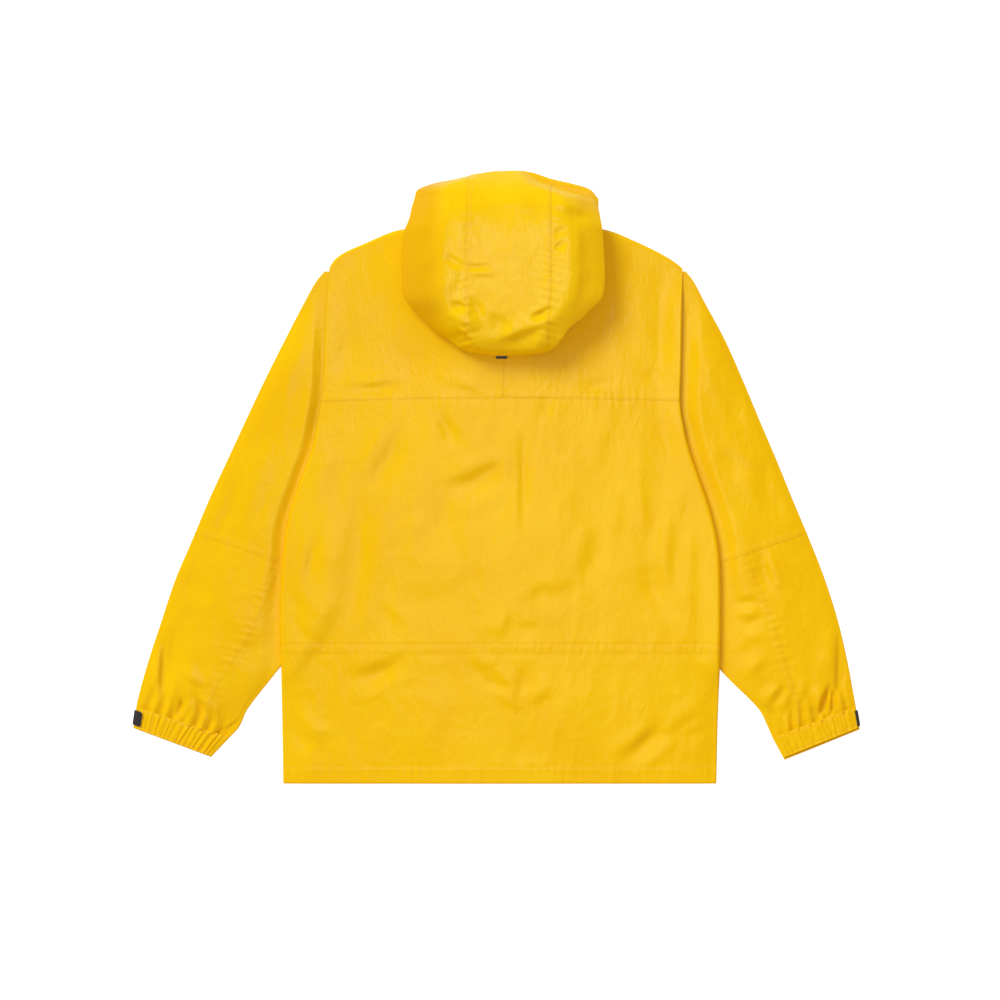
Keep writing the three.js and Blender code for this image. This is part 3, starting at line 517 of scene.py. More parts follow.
def threadMaterial():
    material = bpy.data.materials.new("threadYellow")
    material.use_nodes = True
    tree = material.node_tree
    shader = tree.nodes["Principled BSDF"]
    coordinates = tree.nodes.new("ShaderNodeTexCoord")
    twist = noiseOf(tree, coordinates.outputs["Object"], 900.0, 2.0)
    ramp = tree.nodes.new("ShaderNodeValToRGB")
    ramp.color_ramp.elements[0].color = (0.85, 0.48, 0.006, 1)
    ramp.color_ramp.elements[1].color = (0.98, 0.64, 0.05, 1)
    tree.links.new(twist, ramp.inputs["Fac"])
    tree.links.new(ramp.outputs["Color"], shader.inputs["Base Color"])
    shader.inputs["Roughness"].default_value = 0.42
    shader.inputs["Sheen Weight"].default_value = 0.1
    bump = tree.nodes.new("ShaderNodeBump")
    bump.inputs["Distance"].default_value = 0.0001
    tree.links.new(twist, bump.inputs["Height"])
    tree.links.new(bump.outputs["Normal"], shader.inputs["Normal"])
    return material


threadYellow = threadMaterial()


def webbingMaterial():  # black woven tape
    material = bpy.data.materials.new("blackTape")
    material.use_nodes = True
    tree = material.node_tree
    shader = tree.nodes["Principled BSDF"]
    weave = weaveOn(tree, 1100.0)
    ramp = tree.nodes.new("ShaderNodeValToRGB")
    ramp.color_ramp.elements[0].color = (0.006, 0.004, 0.006, 1)
    ramp.color_ramp.elements[1].color = (0.03, 0.022, 0.026, 1)
    tree.links.new(mathNode(tree, "ADD", weave.outputs["Height"], 0.5), ramp.inputs["Fac"])
    tree.links.new(ramp.outputs["Color"], shader.inputs["Base Color"])
    shader.inputs["Roughness"].default_value = 0.6
    bump = tree.nodes.new("ShaderNodeBump")
    bump.inputs["Distance"].default_value = 0.0004
    tree.links.new(weave.outputs["Height"], bump.inputs["Height"])
    tree.links.new(bump.outputs["Normal"], shader.inputs["Normal"])
    return material


blackTape = webbingMaterial()


def snapMaterial():
    material = bpy.data.materials.new("snapPaint")
    material.use_nodes = True
    tree = material.node_tree
    shader = tree.nodes["Principled BSDF"]
    coordinates = tree.nodes.new("ShaderNodeTexCoord")
    wearAndPaintedShade = noiseOf(tree, coordinates.outputs["Object"], 260.0, 5.0, 0.65)
    ramp = tree.nodes.new("ShaderNodeValToRGB")
    ramp.color_ramp.elements[0].position = 0.3
    ramp.color_ramp.elements[0].color = (0.2, 0.2, 0.19, 1)
    ramp.color_ramp.elements[1].position = 0.7
    ramp.color_ramp.elements[1].color = (0.33, 0.33, 0.32, 1)
    tree.links.new(wearAndPaintedShade, ramp.inputs["Fac"])
    tree.links.new(ramp.outputs["Color"], shader.inputs["Base Color"])
    shader.inputs["Metallic"].default_value = 0.85
    rough = mathNode(tree, "ADD", 0.25, mathNode(tree, "MULTIPLY", wearAndPaintedShade, 0.25))
    tree.links.new(rough, shader.inputs["Roughness"])
    return material


snapPaint = snapMaterial()
print("finishes made")

# how the back lies

backFolds = [
    (-158, 24, 57, 58, 14, -1.0, 0.05),
    (-180, -88, 88, 66, 12, -1.0, 0.0),
    (-205, -60, 84, 70, 10, 1.0, 0.03),
    (-150, -85, 86, 70, 12, 1.1, -0.03),
    (-66, 64, -60, 30, 9, -1.5, 0.0),
    (28, 8, 90, 70, 8, -0.8, 0.02),
    (12, 20, 88, 60, 7, 0.8, 0.0),
    (-30, -6, 26, 44, 13, -0.9, 0.1),
    (-20, -34, 22, 50, 11, 1.2, 0.05),
    (-252, -118, 80, 42, 7, -1.3, 0.0),
    (-268, -205, -50, 34, 8, -1.4, 0.0),
    (-236, -190, 78, 40, 12, 1.0, 0.0),
    (132, -76, 78, 56, 11, -1.0, 0.04),
    (155, -70, 80, 60, 11, 1.2, 0.04),
    (208, -152, 70, 50, 20, -1.3, 0.0),
    (243, -96, 88, 84, 9, -1.6, 0.02),
    (262, -120, 88, 80, 8, 0.9, 0.0),
    (58, -159, 40, 24, 8, -1.2, 0.0),
    (8, -196, 70, 26, 8, 1.1, 0.0),
    (40, -205, -8, 30, 8, -1.0, 0.0),
    (-120, -70, 82, 110, 30, 1.2, 0.0),
    (80, -40, 84, 120, 30, 1.4, 0.0),
    (195, 20, 82, 90, 26, 1.3, 0.0),
    (-40, -120, 24, 90, 24, 0.9, 0.0),
    (-95, -165, 12, 60, 18, -0.9, 0.1),
    (-100, -110, -18, 44, 12, 0.7, 0.0),
    (-161, -266, 19, 44, 10, -1.5, 0.08),
    (-150, -284, 24, 50, 10, 1.0, 0.05),
    (-4, -272, -38, 34, 9, -1.5, 0.0),
    (36, -280, 80, 34, 8, -1.0, 0.0),
    (10, -296, -34, 40, 10, 1.1, 0.0),
    (205, -356, 44, 46, 10, -1.9, 0.06),
    (222, -372, 42, 50, 10, 1.2, 0.05),
    (276, -346, 22, 30, 7, -1.3, 0.0),
    (-272, -350, -58, 36, 8, -1.6, 0.0),
    (-258, -336, -58, 36, 8, 0.9, 0.0),
    (110, -320, 78, 70, 26, 1.0, 0.0),
    (-90, -335, 76, 70, 26, 1.1, 0.0),
    (40, -350, 82, 54, 14, -0.8, 0.0),
    (-190, -330, 84, 60, 16, -0.9, 0.0),
    (-165, 122, 6, 46, 6, -1.2, 0.06),
    (-170, 131, 6, 50, 6, 0.9, 0.06),
    (-42, 118, -22, 40, 7, -1.1, 0.08),
    (-52, 128, -22, 42, 8, 0.9, 0.08),
    (134, 126, 8, 28, 6, -1.0, 0.0),
    (210, 139, 30, 18, 6, -0.9, 0.0),
    (-185, 220, 66, 74, 20, 1.2, 0.0),
    (-205, 180, 70, 50, 12, -1.0, 0.0),
    (205, 225, 112, 70, 20, 1.2, 0.0),
    (222, 190, 104, 50, 12, -1.0, 0.0),
    (-110, 180, 40, 60, 18, -0.9, 0.0),
    (170, 160, -34, 40, 14, 0.8, 0.0),
]
# where the cloth leans out of the sheen
backFacets = [
    (-156, 28, 64, 62, 12, 0.4, 0.05),
    (-178, -100, 93, 86, 13, -0.32, 0.0),
    (-184, -172, 78, 44, 11, -0.22, 0.0),
    (-43, 1, 20, 48, 12, 0.44, 0.1),
    (-8, 16, 26, 26, 9, 0.26, 0.0),
    (32, -7, 90, 90, 6, 0.32, 0.0),
    (-75, 64, -56, 42, 9, -0.3, 0.0),
    (74, 90, 86, 22, 8, -0.25, 0.0),
    (128, -98, 63, 56, 13, 0.32, 0.0),
    (203, -41, 96, 50, 10, 0.24, 0.0),
    (215, -170, -52, 54, 12, -0.28, 0.0),
    (-243, -109, 75, 36, 9, -0.2, 0.0),
    (-266, -167, -60, 44, 10, 0.22, 0.0),
    (-138, -189, -50, 36, 10, 0.28, 0.0),
    (-162, -253, 18, 56, 11, 0.3, 0.05),
    (-25, -255, -60, 28, 8, 0.26, 0.0),
    (2, -278, -20, 30, 7, 0.26, 0.0),
    (60, -300, 30, 34, 9, 0.22, 0.0),
    (192, -360, 39, 48, 9, 0.36, 0.05),
    (253, -332, 40, 44, 9, 0.3, 0.0),
    (-258, -344, -54, 44, 9, 0.28, 0.0),
    (84, -150, 20, 40, 12, 0.24, 0.0),
    (-60, -60, 100, 60, 14, -0.22, 0.1),
    (150, 50, 80, 50, 12, 0.22, 0.0),
    (-120, -60, 12, 40, 10, -0.2, 0.0),
]
backSettings = {
    "spacing": 2.6,
    "fine": 1.1,
    "foldDepth": 1.4,
    "facetDepth": 5.0,
    "crumple": 1.2,
    "lap": 2.0,
    "crisp": 0.42,
    "yokeLeft": 102,
    "yokeCentre": 107,
    "yokeRight": 103,
}


edgeLift = {"left": 2.6, "right": 6.5}


def yokeSeam(x):
    share = np.minimum(np.abs(x - garment["backCentre"]) / 240, 1)
    end = np.where(x < garment["backCentre"], backSettings["yokeLeft"], backSettings["yokeRight"])
    return lerp(backSettings["yokeCentre"], end, share**2)


def frontLift(x, y, flapEase=(5, 22)):
    reach = np.abs(onSide(innerEdge, x, y))
    overSleeve = smooth(np.abs(x), reach - 44, reach - 9)
    alongBody = (1 - smooth(y, 14, 52)) * smooth(y, -305, -262)
    overFlap = 1 - smooth(np.abs(x - garment["frontCentre"]) - 30, *flapEase)
    return sleeveRest * overSleeve * alongBody + flapRest * overFlap


def rollShare(y):
    return 1 - smooth(y, 40, 100)


def ledge(y):
    return sleeveRest * smooth(y, -305, -262)


def edgeHeight(side, y):  # the body's edge stands clear of the sleeves, more on the right
    lift = edgeLift[side] * smooth(y, -300, -240) * (1 - smooth(y, 225, 280))
    rolled = garment["looseness"] + garment["seamGap"] + garment["cloth"]
    return garment["cloth"] + 0.1 + rollShare(y) * rolled + lift


neck = {
    "x": 9, "y": 285, "halfWide": 132, "halfHigh": 120, "power": 1.9, "under": 20,
    "rise": {"left": 10.0, "right": 12.5}, "fade": 25,
}


def neckRise(x, y):  # the back climbs to the folded hood, and sinks again beneath it
    wide = (np.abs(x - neck["x"]) / neck["halfWide"]) ** neck["power"]
    high = (np.abs(y - neck["y"]) / neck["halfHigh"]) ** neck["power"]
    outside = ((wide + high) ** (1 / neck["power"]) - 1) * (neck["halfWide"] + neck["halfHigh"]) / 2
    rise = lerp(neck["rise"]["left"], neck["rise"]["right"], smooth(x - y, -340, -120))
    return rise * np.where(
        outside > 0, np.exp(-np.maximum(outside, 0) / neck["fade"]), 1 - smooth(-outside, 0, neck["under"])
    )


def backTop(x, y):
    inward = np.abs(onSide(sideEdge, x, y)) - np.abs(x)
    layers = frontLift(x, y, (0, 110)) + 2 * garment["cloth"]
    base = layers + garment["seamGap"] + garment["looseness"] + garment["loft"]
    crumple = backSettings["crumple"] * (1 - 0.45 * smooth(y, 95, 125))
    lie = backSettings["foldDepth"] * foldSum(backFolds, x, y) + crumple * crinkle(x, y, 3)
    lie = lie + backSettings["facetDepth"] * foldSum(backFacets, x, y, facet=True)
    lie = lie - 4.2 * smooth(y, 92, 185)  # the yoke falls away from the top of the back
    lie = np.maximum(lie, -garment["loft"] - 1.2) + neckRise(x, y)
    edge = ledge(y) + onSide(edgeHeight, x, y)
    return lerp(edge, base + lie, smooth(inward, 0, garment["edgeEase"]))


def overlapRise(depth, tunnel, rows):  # a folded edge laid over its neighbour and stitched down
    rise = 0.42 * (1 - smooth(depth, tunnel, tunnel + 3)) - 0.45 * (1 - smooth(depth, 0, 1.8))
    for row in rows:
        rise = rise - 0.18 * np.exp(-(((depth - row) / 0.9) ** 2))
    return rise


def seamRise(x, y, piece):  # ridges, grooves and puckers along the back's seams
    fromYoke, fromWaist, fromHem = y - yokeSeam(x), y - garment["waistY"], y - garment["hemY"]
    rise = 0.5 * pucker(x, 11) * np.exp(-np.abs(fromYoke - 4) / 7)
    rise = rise + 0.55 * pucker(x, 23) * np.exp(-np.abs(fromWaist + 5) / 7)
    rise = rise + 0.6 * pucker(x, 37) * np.exp(-np.abs(fromHem - 18) / 10)
    if piece == "yoke":
        rise = rise + overlapRise(fromYoke, 7.6, (1.9, 7.6))
    elif piece == "panel":
        rise = rise - 0.22 * (1 - smooth(-fromYoke, 0, 3)) - 0.22 * (1 - smooth(fromWaist, 0, 3))
    else:
        rise = rise + overlapRise(-fromWaist, 10.2, (1.8, 10.2))
        rise = rise + 0.6 * (1 - smooth(fromHem, 21, 24)) - 1.0 * (1 - smooth(fromHem, 0, 2.2))
        rise = rise - 0.5 * np.exp(-(((fromHem - 21.5) / 1.0) ** 2))
    return rise


def backHeight(x, y, piece):
    return backTop(x, y) + seamRise(x, y, piece)


def rollRadius(side, y):  # beside the armhole it only turns down onto the sleeve
    lift = edgeLift[side] * smooth(y, -300, -240) * (1 - smooth(y, 225, 280))
    return np.maximum(edgeHeight(side, y) * rollShare(y), 0.85 * lift) + 0.001


def rolledAcross(s, y):  # x, drop and lean from the distance over the cloth from the left edge
    left, right = sideEdge("left", y), sideEdge("right", y)
    radiusLeft, radiusRight = rollRadius("left", y), rollRadius("right", y)
    crisp = backSettings["crisp"]  # the roll is much taller than it is wide
    total = right - left + (radiusLeft + radiusRight) * (math.pi / 2 - crisp)
    at = s * total
    fromLeft, fromRight = at, total - at
    near = np.minimum(fromLeft, fromRight)
    radius = np.where(fromLeft < fromRight, radiusLeft, radiusRight)
    arc = radius * math.pi / 2
    angle = math.pi / 2 - np.minimum(near / radius, math.pi / 2)
    inward = np.where(near < arc, crisp * radius * (1 - np.sin(angle)), crisp * radius + near - arc)
    x = np.where(fromLeft < fromRight, left + inward, right - inward)
    drop = np.where(near < arc, radius * (1 - np.cos(angle)), 0)
    return x, drop


def backSurface(low, high, piece):
    def surface(s, t):
        guess = lerp(sideEdge("left", t * 0 - 100), sideEdge("right", t * 0 - 100), s)
        y = lerp(low(guess), high(guess), t)
        x, drop = rolledAcross(s, y)
        y = lerp(low(x), high(x), t)
        return np.stack([x, y, np.maximum(backHeight(x, y, piece) - drop, 0.05)], axis=1)
    return surface


def seamShade(u, v, places):
    x, y = places[:, 0], places[:, 1]
    near = np.minimum(np.abs(y - yokeSeam(x)), np.abs(y - garment["waistY"]))
    near = np.minimum(near, np.abs(y - garment["hemY"]))
    return np.exp(-near / 1.4)


def backPieces():
    gap = garment["seamGap"] / 2
    waist, hem = garment["waistY"], garment["hemY"]
    step, fine = backSettings["spacing"], backSettings["fine"]
    width, edge = 598.0, 9.0
    columns = stops((0, edge, 1.3), (edge, width - edge, step), (width - edge, width, 1.3)) / width

    lap = backSettings["lap"]
    panelHigh = 334.0 + 2 * lap
    rows = stops((0, 6, fine), (6, panelHigh - 6, step), (panelHigh - 6, panelHigh, fine)) / panelHigh
    panel = backSurface(lambda x: x * 0 + waist - lap, lambda x: yokeSeam(x) + lap, "panel")
    backPanel = makeCloth("back_panel", columns, rows, panel, edge=seamShade)
    lowerHigh = waist - gap - hem
    rows = stops(
        (0, 4, fine), (4, 18, step), (18, 26, fine),
        (26, lowerHigh - 15, step), (lowerHigh - 15, lowerHigh, fine)
    ) / lowerHigh
    lower = backSurface(lambda x: x * 0 + hem, lambda x: x * 0 + waist - gap, "lower")
    backLower = makeCloth("back_lower", columns, rows, lower, edge=seamShade)

    run = np.linspace(0.012, 0.988, 600)
    lines = [stitchRun(lower, run, run * 0 + (1 - depth / lowerHigh)) for depth in (1.8, 10.2)]
    lines.append(stitchRun(lower, run, run * 0 + 21.5 / lowerHigh))
    makeStitches("stitches_back", lines)
    return backPanel, backLower


def yokeSurface(side):
    tipX = float(sideEdge(side, np.array([286.0]))[0])
    middleX = garment["backCentre"] + (0.3 if side == "left" else -1.6)  # the left one laps over
    rollPart = 0.08

    def surface(u, t):
        topX = lerp(tipX, middleX, u)
        topY = along(topLine, "x", "y", topX)
        radius = backTop(topX, topY)
        share = smooth(np.abs(topX - garment["backCentre"]), 118, 142)
        start = math.pi / 2 * share
        k = np.clip((1 - t) / rollPart, 0, 1)
        angle = start * (1 - k)
        rolledIn = radius * (np.sin(start) - np.sin(angle)) + 3.9 * k * (1 - share)
        fully = radius * np.sin(start) + 3.9 * (1 - share)
        startY = yokeSeam(topX) + garment["seamGap"] / 2
        flatY = lerp(startY, topY - fully, np.clip(t / (1 - rollPart), 0, 1))
        y = np.where(t < 1 - rollPart, flatY, topY - rolledIn)
        x = lerp(sideEdge(side, y), middleX, u)
        drop = radius * (1 - np.cos(angle))
        centre = np.abs(x - garment["backCentre"])
        seam = 0.3 * pucker(y, 51) * np.exp(-centre / 8)
        if side == "left":
            seam = seam + 0.5 * (1 - smooth(centre, 5, 8)) - 0.4 * (1 - smooth(centre, 0, 1.3))
            seam = seam - 0.35 * np.exp(-(((centre - 3.2) / 0.8) ** 2))
        else:
            seam = seam - 0.22 * (1 - smooth(x - garment["backCentre"], 0, 3))
        radius = rollRadius(side, y)
        turned = np.clip(1 - np.abs(x - sideEdge(side, y)) / (backSettings["crisp"] * radius), 0, 1)
        drop = drop + radius * (1 - np.sqrt(1 - turned**2))
        return np.stack([x, y, backHeight(x, y, "yoke") - drop + seam], axis=1)
    return surface


def yokePieces():
    step, fine = backSettings["spacing"], backSettings["fine"]
    wide, high = 242.0, 222.0
    pieces = []
    lines = []
    for side in ("left", "right"):
        surface = yokeSurface(side)
        columns = stops((0, 3, 0.6), (3, 6, 1.5), (6, wide - 8, step), (wide - 8, wide, fine)) / wide
        rows = stops((0, 12, fine), (12, 0.92 * high, step), (0.92 * high, high, 1.6)) / high
        piece = makeCloth(f"yoke_{side}", columns, rows, surface, edge=seamShade)
        pieces.append(piece)
        run = np.linspace(0.01, 0.995, 300)
        lines += [stitchRun(surface, run, run * 0 + depth / (high * 0.97)) for depth in (1.9, 7.6)]
        run = np.linspace(0.05, 0.5, 100)
        lines.append(stitchRun(surface, run * 0 + 1 - 3.2 / wide, run))
    makeStitches("stitches_yoke", lines)
    return pieces


backPanel, backLower = backPieces()
yokeLeft, yokeRight = yokePieces()
print("back and yoke made")

# fronts, flap and snaps, on which the back lies

frontSettings = {"spacing": 7.0, "cornerIn": 14}


def frontSurface(side):
    sign = -1 if side == "left" else 1
    hem = garment["hemY"]

    def edgeAt(y):
        insideRoll = np.abs(sideEdge(side, y)) - 2.5
        besideSleeve = np.abs(innerEdge(side, y)) - 0.9
        return lerp(insideRoll, besideSleeve, smooth(y, -40, 0))

    corner = abs(float(sideEdge(side, np.array([284.0]))[0])) - frontSettings["cornerIn"]
    opening = sign * garment["frontCentre"] + garment["seamGap"] / 2

    def surface(u, t):
        wide = lerp(opening, edgeAt(lerp(hem, 255, np.clip(t / 0.9, 0, 1))), u)
        late = np.clip((t - 0.9) / 0.1, 0, 1)
        narrowed = wide * lerp(1, corner / float(edgeAt(np.array([255.0]))[0]), late)
        x = sign * narrowed
        y = np.where(t < 0.9, lerp(hem, 255, t / 0.9), lerp(255, along(topLine, "x", "y", x) - 6, late))
        return np.stack([x, y, frontLift(x, y)], axis=1)
    return surface


def frontPieces():
    step = frontSettings["spacing"]
    pieces = []
    for side in ("left", "right"):
        columns = stops((0, 250, step)) / 250
        rows = stops((0, 730, step)) / 730
        pieces.append(makeCloth(f"front_{side}", columns, rows, frontSurface(side), up=False))
    return pieces


frontLeft, frontRight = frontPieces()

flapSettings = {"width": 60, "top": 316, "bottom": -409}


def flapSurface(u, t):
    x = garment["frontCentre"] + flapSettings["width"] * (u - 0.5)
    y = lerp(flapSettings["bottom"], flapSettings["top"], t)
    side = flapSettings["width"] * np.minimum(u, 1 - u)
    groove = 0.12 * np.exp(-(((side - 6) / 0.8) ** 2))
    return np.stack([x, y, groove], axis=1)


def flapPiece():
    columns = stops((0, 60, 2.5)) / 60
    rows = stops((0, 725, 5)) / 725
    return makeCloth("storm_flap", columns, rows, flapSurface, up=False, thickness=1.25)


stormFlap = flapPiece()


snapSettings = {"count": 6, "capShare": 0.94, "rounding": 0.00012}


def snapPiece(index):
    low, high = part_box(f"snap_{index}")
    centre = (low + high) / 2
    radius = (high.x - low.x) / 2
    bm = bmesh.new()
    bmesh.ops.create_circle(bm, cap_ends=True, radius=radius * snapSettings["capShare"], segments=32)
    face = bm.faces[:]
    top = bmesh.ops.extrude_face_region(bm, geom=face)
    topVerts = [v for v in top["geom"] if isinstance(v, bmesh.types.BMVert)]
    bmesh.ops.translate(bm, verts=topVerts, vec=(0, 0, high.z - low.z - 0.0001))
    bmesh.ops.recalc_face_normals(bm, faces=bm.faces)
    under = [f for f in bm.faces if f.normal.z < -0.9]
    bmesh.ops.inset_region(bm, faces=under, thickness=radius * 0.22, depth=0)
    bmesh.ops.inset_region(bm, faces=under, thickness=radius * 0.08, depth=-0.0003)
    bmesh.ops.inset_region(bm, faces=under, thickness=radius * 0.3, depth=0.0002)
    rim = [e for e in bm.edges if e.calc_face_angle(0) > 0.6]
    bmesh.ops.bevel(
        bm, geom=rim, offset=snapSettings["rounding"], offset_type="OFFSET",
        segments=2, profile=0.5, affect="EDGES", material=-1,
    )
    bmesh.ops.translate(bm, verts=bm.verts, vec=(centre.x, centre.y, low.z + 0.00005))
    mesh = bpy.data.meshes.new(f"snap_{index}_cap")
    bm.to_mesh(mesh)
    bm.free()
    return showPiece(f"snap_{index}_cap", mesh, snapPaint, [f"snap_{index}"])


for index in range(1, snapSettings["count"] + 1):
    snapPiece(index)
print("fronts, flap and snaps made")

# sleeves

upperSleeve = {
    "outerY": [-77, -34, 5, 34, 62, 105, 150, 195, 240, 266, 280],
    "innerY": [-136, -78, -30, 4, 35, 78, 128, 180, 230, 260, 279],
}
forearm = {
    "outerY": [-312, -300, -283, -255, -210, -160, -110, -77.5],
    "innerY": [-353, -338, -318, -288, -250, -210, -170, -136.5],
    "left": [0.68, 0.64, 0.595, 0.59, 0.595, 0.61, 0.615, 0.64],
    "right": [0.66, 0.62, 0.58, 0.52, 0.465, 0.445, 0.46, 0.47],
}
cuffEnd = {
    "left": {"outer": (-494, -341), "inner": (-388, -380.5)},
    "right": {"outer": (494, -343), "inner": (391.5, -384.5)},
}
sleeveFolds = {
    "left": [
        (-453, -262, 88, 48, 4.6, -3.8, 0.0),
        (-460, -262, 86, 40, 5, 1.2, 0.0),
        (-441, -244, 86, 44, 8, -1.6, 0.0),
        (-447, -250, 87, 40, 5, 1.4, 0.0),
        (-430, -315, 76, 19, 2.6, -4.8, 0.0),
        (-420, -318, 80, 18, 4, 1.4, 0.0),
        (-412, -272, -44, 24, 5, 1.8, 0.3),
        (-392, -314, -62, 24, 4.5, 1.8, -0.2),
        (-403, -308, -66, 22, 4, -1.6, -0.2),
        (-406, -146, -56, 40, 10, -1.6, 0.0),
        (-420, -128, -60, 40, 9, 1.0, 0.0),
        (-366, -344, 28, 34, 4, -3.0, 0.05),
        (-352, -352, 30, 26, 4, 1.4, 0.0),
        (-392, -170, -72, 60, 16, 0.9, 0.0),
        (-350, -196, -60, 46, 14, 1.0, 0.0),
        (-360, -40, 68, 60, 12, -1.3, 0.0),
        (-330, -20, 66, 70, 14, 1.2, 0.0),
        (-300, 90, 66, 80, 13, -1.0, 0.0),
        (-282, 130, 68, 70, 12, 0.9, 0.0),
        (-290, -70, 74, 44, 12, -1.4, 0.0),
        (-330, -232, 60, 34, 12, -0.9, 0.0),
        (-265, -170, 80, 30, 8, -1.0, 0.0),
    ],
    "right": [
        (466, -252, 87, 54, 4.4, -4.4, 0.03),
        (470, -245, 89, 44, 4.5, 1.4, 0.0),
        (453, -240, 86, 44, 7, 1.4, 0.0),
        (445, -305, 72, 28, 2.7, -4.8, 0.0),
        (456, -308, 86, 24, 2.4, -4.2, 0.0),
        (438, -300, 74, 24, 4.5, 1.6, 0.0),
        (382, -294, 44, 22, 5, -1.8, 0.2),
        (374, -298, 46, 24, 5, 1.5, 0.2),
        (402, -300, 72, 30, 6, -1.6, 0.1),
        (411, -296, 74, 30, 6, 1.4, 0.1),
        (379, -330, -72, 24, 4.5, -1.8, 0.0),
        (388, -334, -70, 22, 4, 1.2, 0.0),
        (336, -171, 4, 26, 7, -1.6, 0.0),
        (336, -184, 4, 26, 6, 1.1, 0.0),
        (344, -197, 12, 18, 6, -1.3, 0.0),
        (364, -128, -74, 36, 8, -1.7, 0.0),
        (376, -124, -76, 40, 9, 1.0, 0.0),
        (405, -150, 66, 60, 15, 0.9, 0.0),
        (340, -236, 24, 28, 9, -0.9, 0.0),
        (350, -258, 40, 26, 7, 1.0, 0.0),
        (372, -30, -66, 60, 12, -1.3, 0.0),
        (345, -10, -64, 70, 14, 1.2, 0.0),
        (315, 95, -65, 80, 13, -1.0, 0.0),
        (293, 132, -68, 70, 12, 0.9, 0.0),
        (325, 20, -40, 34, 10, -1.4, 0.0),
    ],
}
# gathers above the cuffs: share of the way in, reach up the sleeve, half width, rise, lean
gathers = {
    "left": [
        (0.05, 30, 3.2, 1.6, 0.02), (0.12, 44, 3.0, -1.8, 0.03),
        (0.18, 36, 3.4, 1.9, 0.0), (0.25, 30, 2.6, -2.0, -0.02),
        (0.31, 42, 3.6, 2.2, -0.05), (0.38, 26, 2.6, -1.8, -0.04),
        (0.44, 34, 3.2, 1.7, -0.06), (0.5, 22, 2.5, -1.6, -0.1),
        (0.56, 34, 3.6, 1.9, -0.16), (0.63, 26, 2.8, -1.9, -0.2),
        (0.69, 30, 3.0, 1.8, -0.3), (0.76, 24, 2.6, -1.7, -0.34),
        (0.82, 28, 3.2, 1.5, -0.4), (0.89, 20, 2.6, -1.4, -0.4), (0.95, 18, 2.8, 1.1, -0.4),
    ],
    "right": [
        (0.05, 24, 2.8, 1.4, 0.0), (0.11, 34, 2.6, -1.7, 0.02),
        (0.16, 30, 3.0, 1.8, 0.04), (0.22, 40, 2.6, -1.9, 0.0),
        (0.28, 34, 3.2, 2.0, -0.04), (0.35, 22, 2.5, -1.8, -0.04),
        (0.41, 36, 3.6, 2.0, -0.1), (0.48, 28, 2.8, -1.8, -0.1),
        (0.55, 40, 3.8, 1.9, -0.2), (0.62, 30, 2.9, -1.9, -0.22),
        (0.69, 26, 3.0, 1.8, -0.3), (0.75, 32, 2.8, -1.8, -0.34),
        (0.81, 24, 3.0, 1.5, -0.4), (0.88, 30, 2.8, -1.5, -0.42), (0.94, 18, 2.6, 1.2, -0.4),
    ],
}
sleeveSettings = {
    "spacing": 2.4, "fine": 1.3, "under": 12.0, "round": 7, "rim": 1.7, "lap": 2.0,
    "foldDepth": 1.8, "gatherDepth": 1.4,
    "clear": {"left": (2, 34), "right": (6, 50)},  # from the body's edge to where the sleeve stands open
}


def sleeveLine(side, table, outerY):
    within = np.clip(outerY, table["outerY"][0], table["outerY"][-1])
    innerY = along(table, "outerY", "innerY", outerY) + outerY - within
    outer = np.stack([outerEdge(side, outerY), outerY], axis=1)
    inner = np.stack([innerEdge(side, innerY), innerY], axis=1)
    return outer, inner


def sleeveHeight(side, x, y, share, gape, fromCuff):
    clear = np.abs(x) - np.abs(sideEdge(side, y))
    arm = smooth(y, -210, -110)
    near, far = sleeveSettings["clear"][side]
    free = np.maximum(smooth(clear, near, lerp(far, 0.55 * far, arm)), smooth(-y, 272, 325))
    gape = lerp(2.6, gape, smooth(fromCuff, 0, 46))
    full = lerp(share, np.minimum(share, 0.5), arm)  # up the arm the sleeve stays full beside the body
    crown = gape * np.sin(math.pi * np.clip(full, 0, 1)) ** 0.8
    crown = crown + sleeveSettings["foldDepth"] * foldSum(sleeveFolds[side], x, y)
    lying = smooth(share, 0, 0.12) * smooth(1 - share, 0, 0.12)
    crown = crown + 1.3 * crinkle(x, y, 61 if side == "left" else 71) * lying
    wide = 125
    for at, reach, width, rise, lean in gathers[side]:
        off = (share - at) * wide - lean * fromCuff
        fade = (1 - smooth(fromCuff, 0, reach * 1.4)) * lying
        crown = crown + sleeveSettings["gatherDepth"] * rise * fade * np.exp(-((off / width) ** 2))
    return np.maximum(garment["sleeveFlat"] + crown * free, 2 * garment["cloth"] + 0.1)


def halfLoop(fold, seam, topAt, u):  # 0 at the seam on top, over the fold and back to the seam below
    across = seam - fold
    width = np.linalg.norm(across, axis=1)
    way = across / width[:, None]
    radius = sleeveSettings["rim"]
    topPart, roundPart = 0.62, 0.70
    t = np.clip(u / topPart, 0, 1)
    distance = lerp(width, radius, t)
    top = fold + way * distance[:, None]
    eased = smooth(distance, radius, radius + 6)
    topZ = lerp(2 * radius, topAt(top[:, 0], top[:, 1], distance, width), eased)
    angle = math.pi / 2 + math.pi * np.clip((u - topPart) / (roundPart - topPart), 0, 1)
    bent = radius + radius * np.cos(angle)
    turned = fold + way * bent[:, None]
    turnedZ = radius + radius * np.sin(angle)
    below = lerp(radius, width, np.clip((u - roundPart) / (1 - roundPart), 0, 1))
    under = fold + way * below[:, None]
    onTop, onTurn = u <= topPart, (u > topPart) & (u < roundPart)
    x = np.where(onTop, top[:, 0], np.where(onTurn, turned[:, 0], under[:, 0]))
    y = np.where(onTop, top[:, 1], np.where(onTurn, turned[:, 1], under[:, 1]))
    z = np.where(onTop, topZ, np.where(onTurn, turnedZ, 0))
    return np.stack([x, y, z], axis=1)


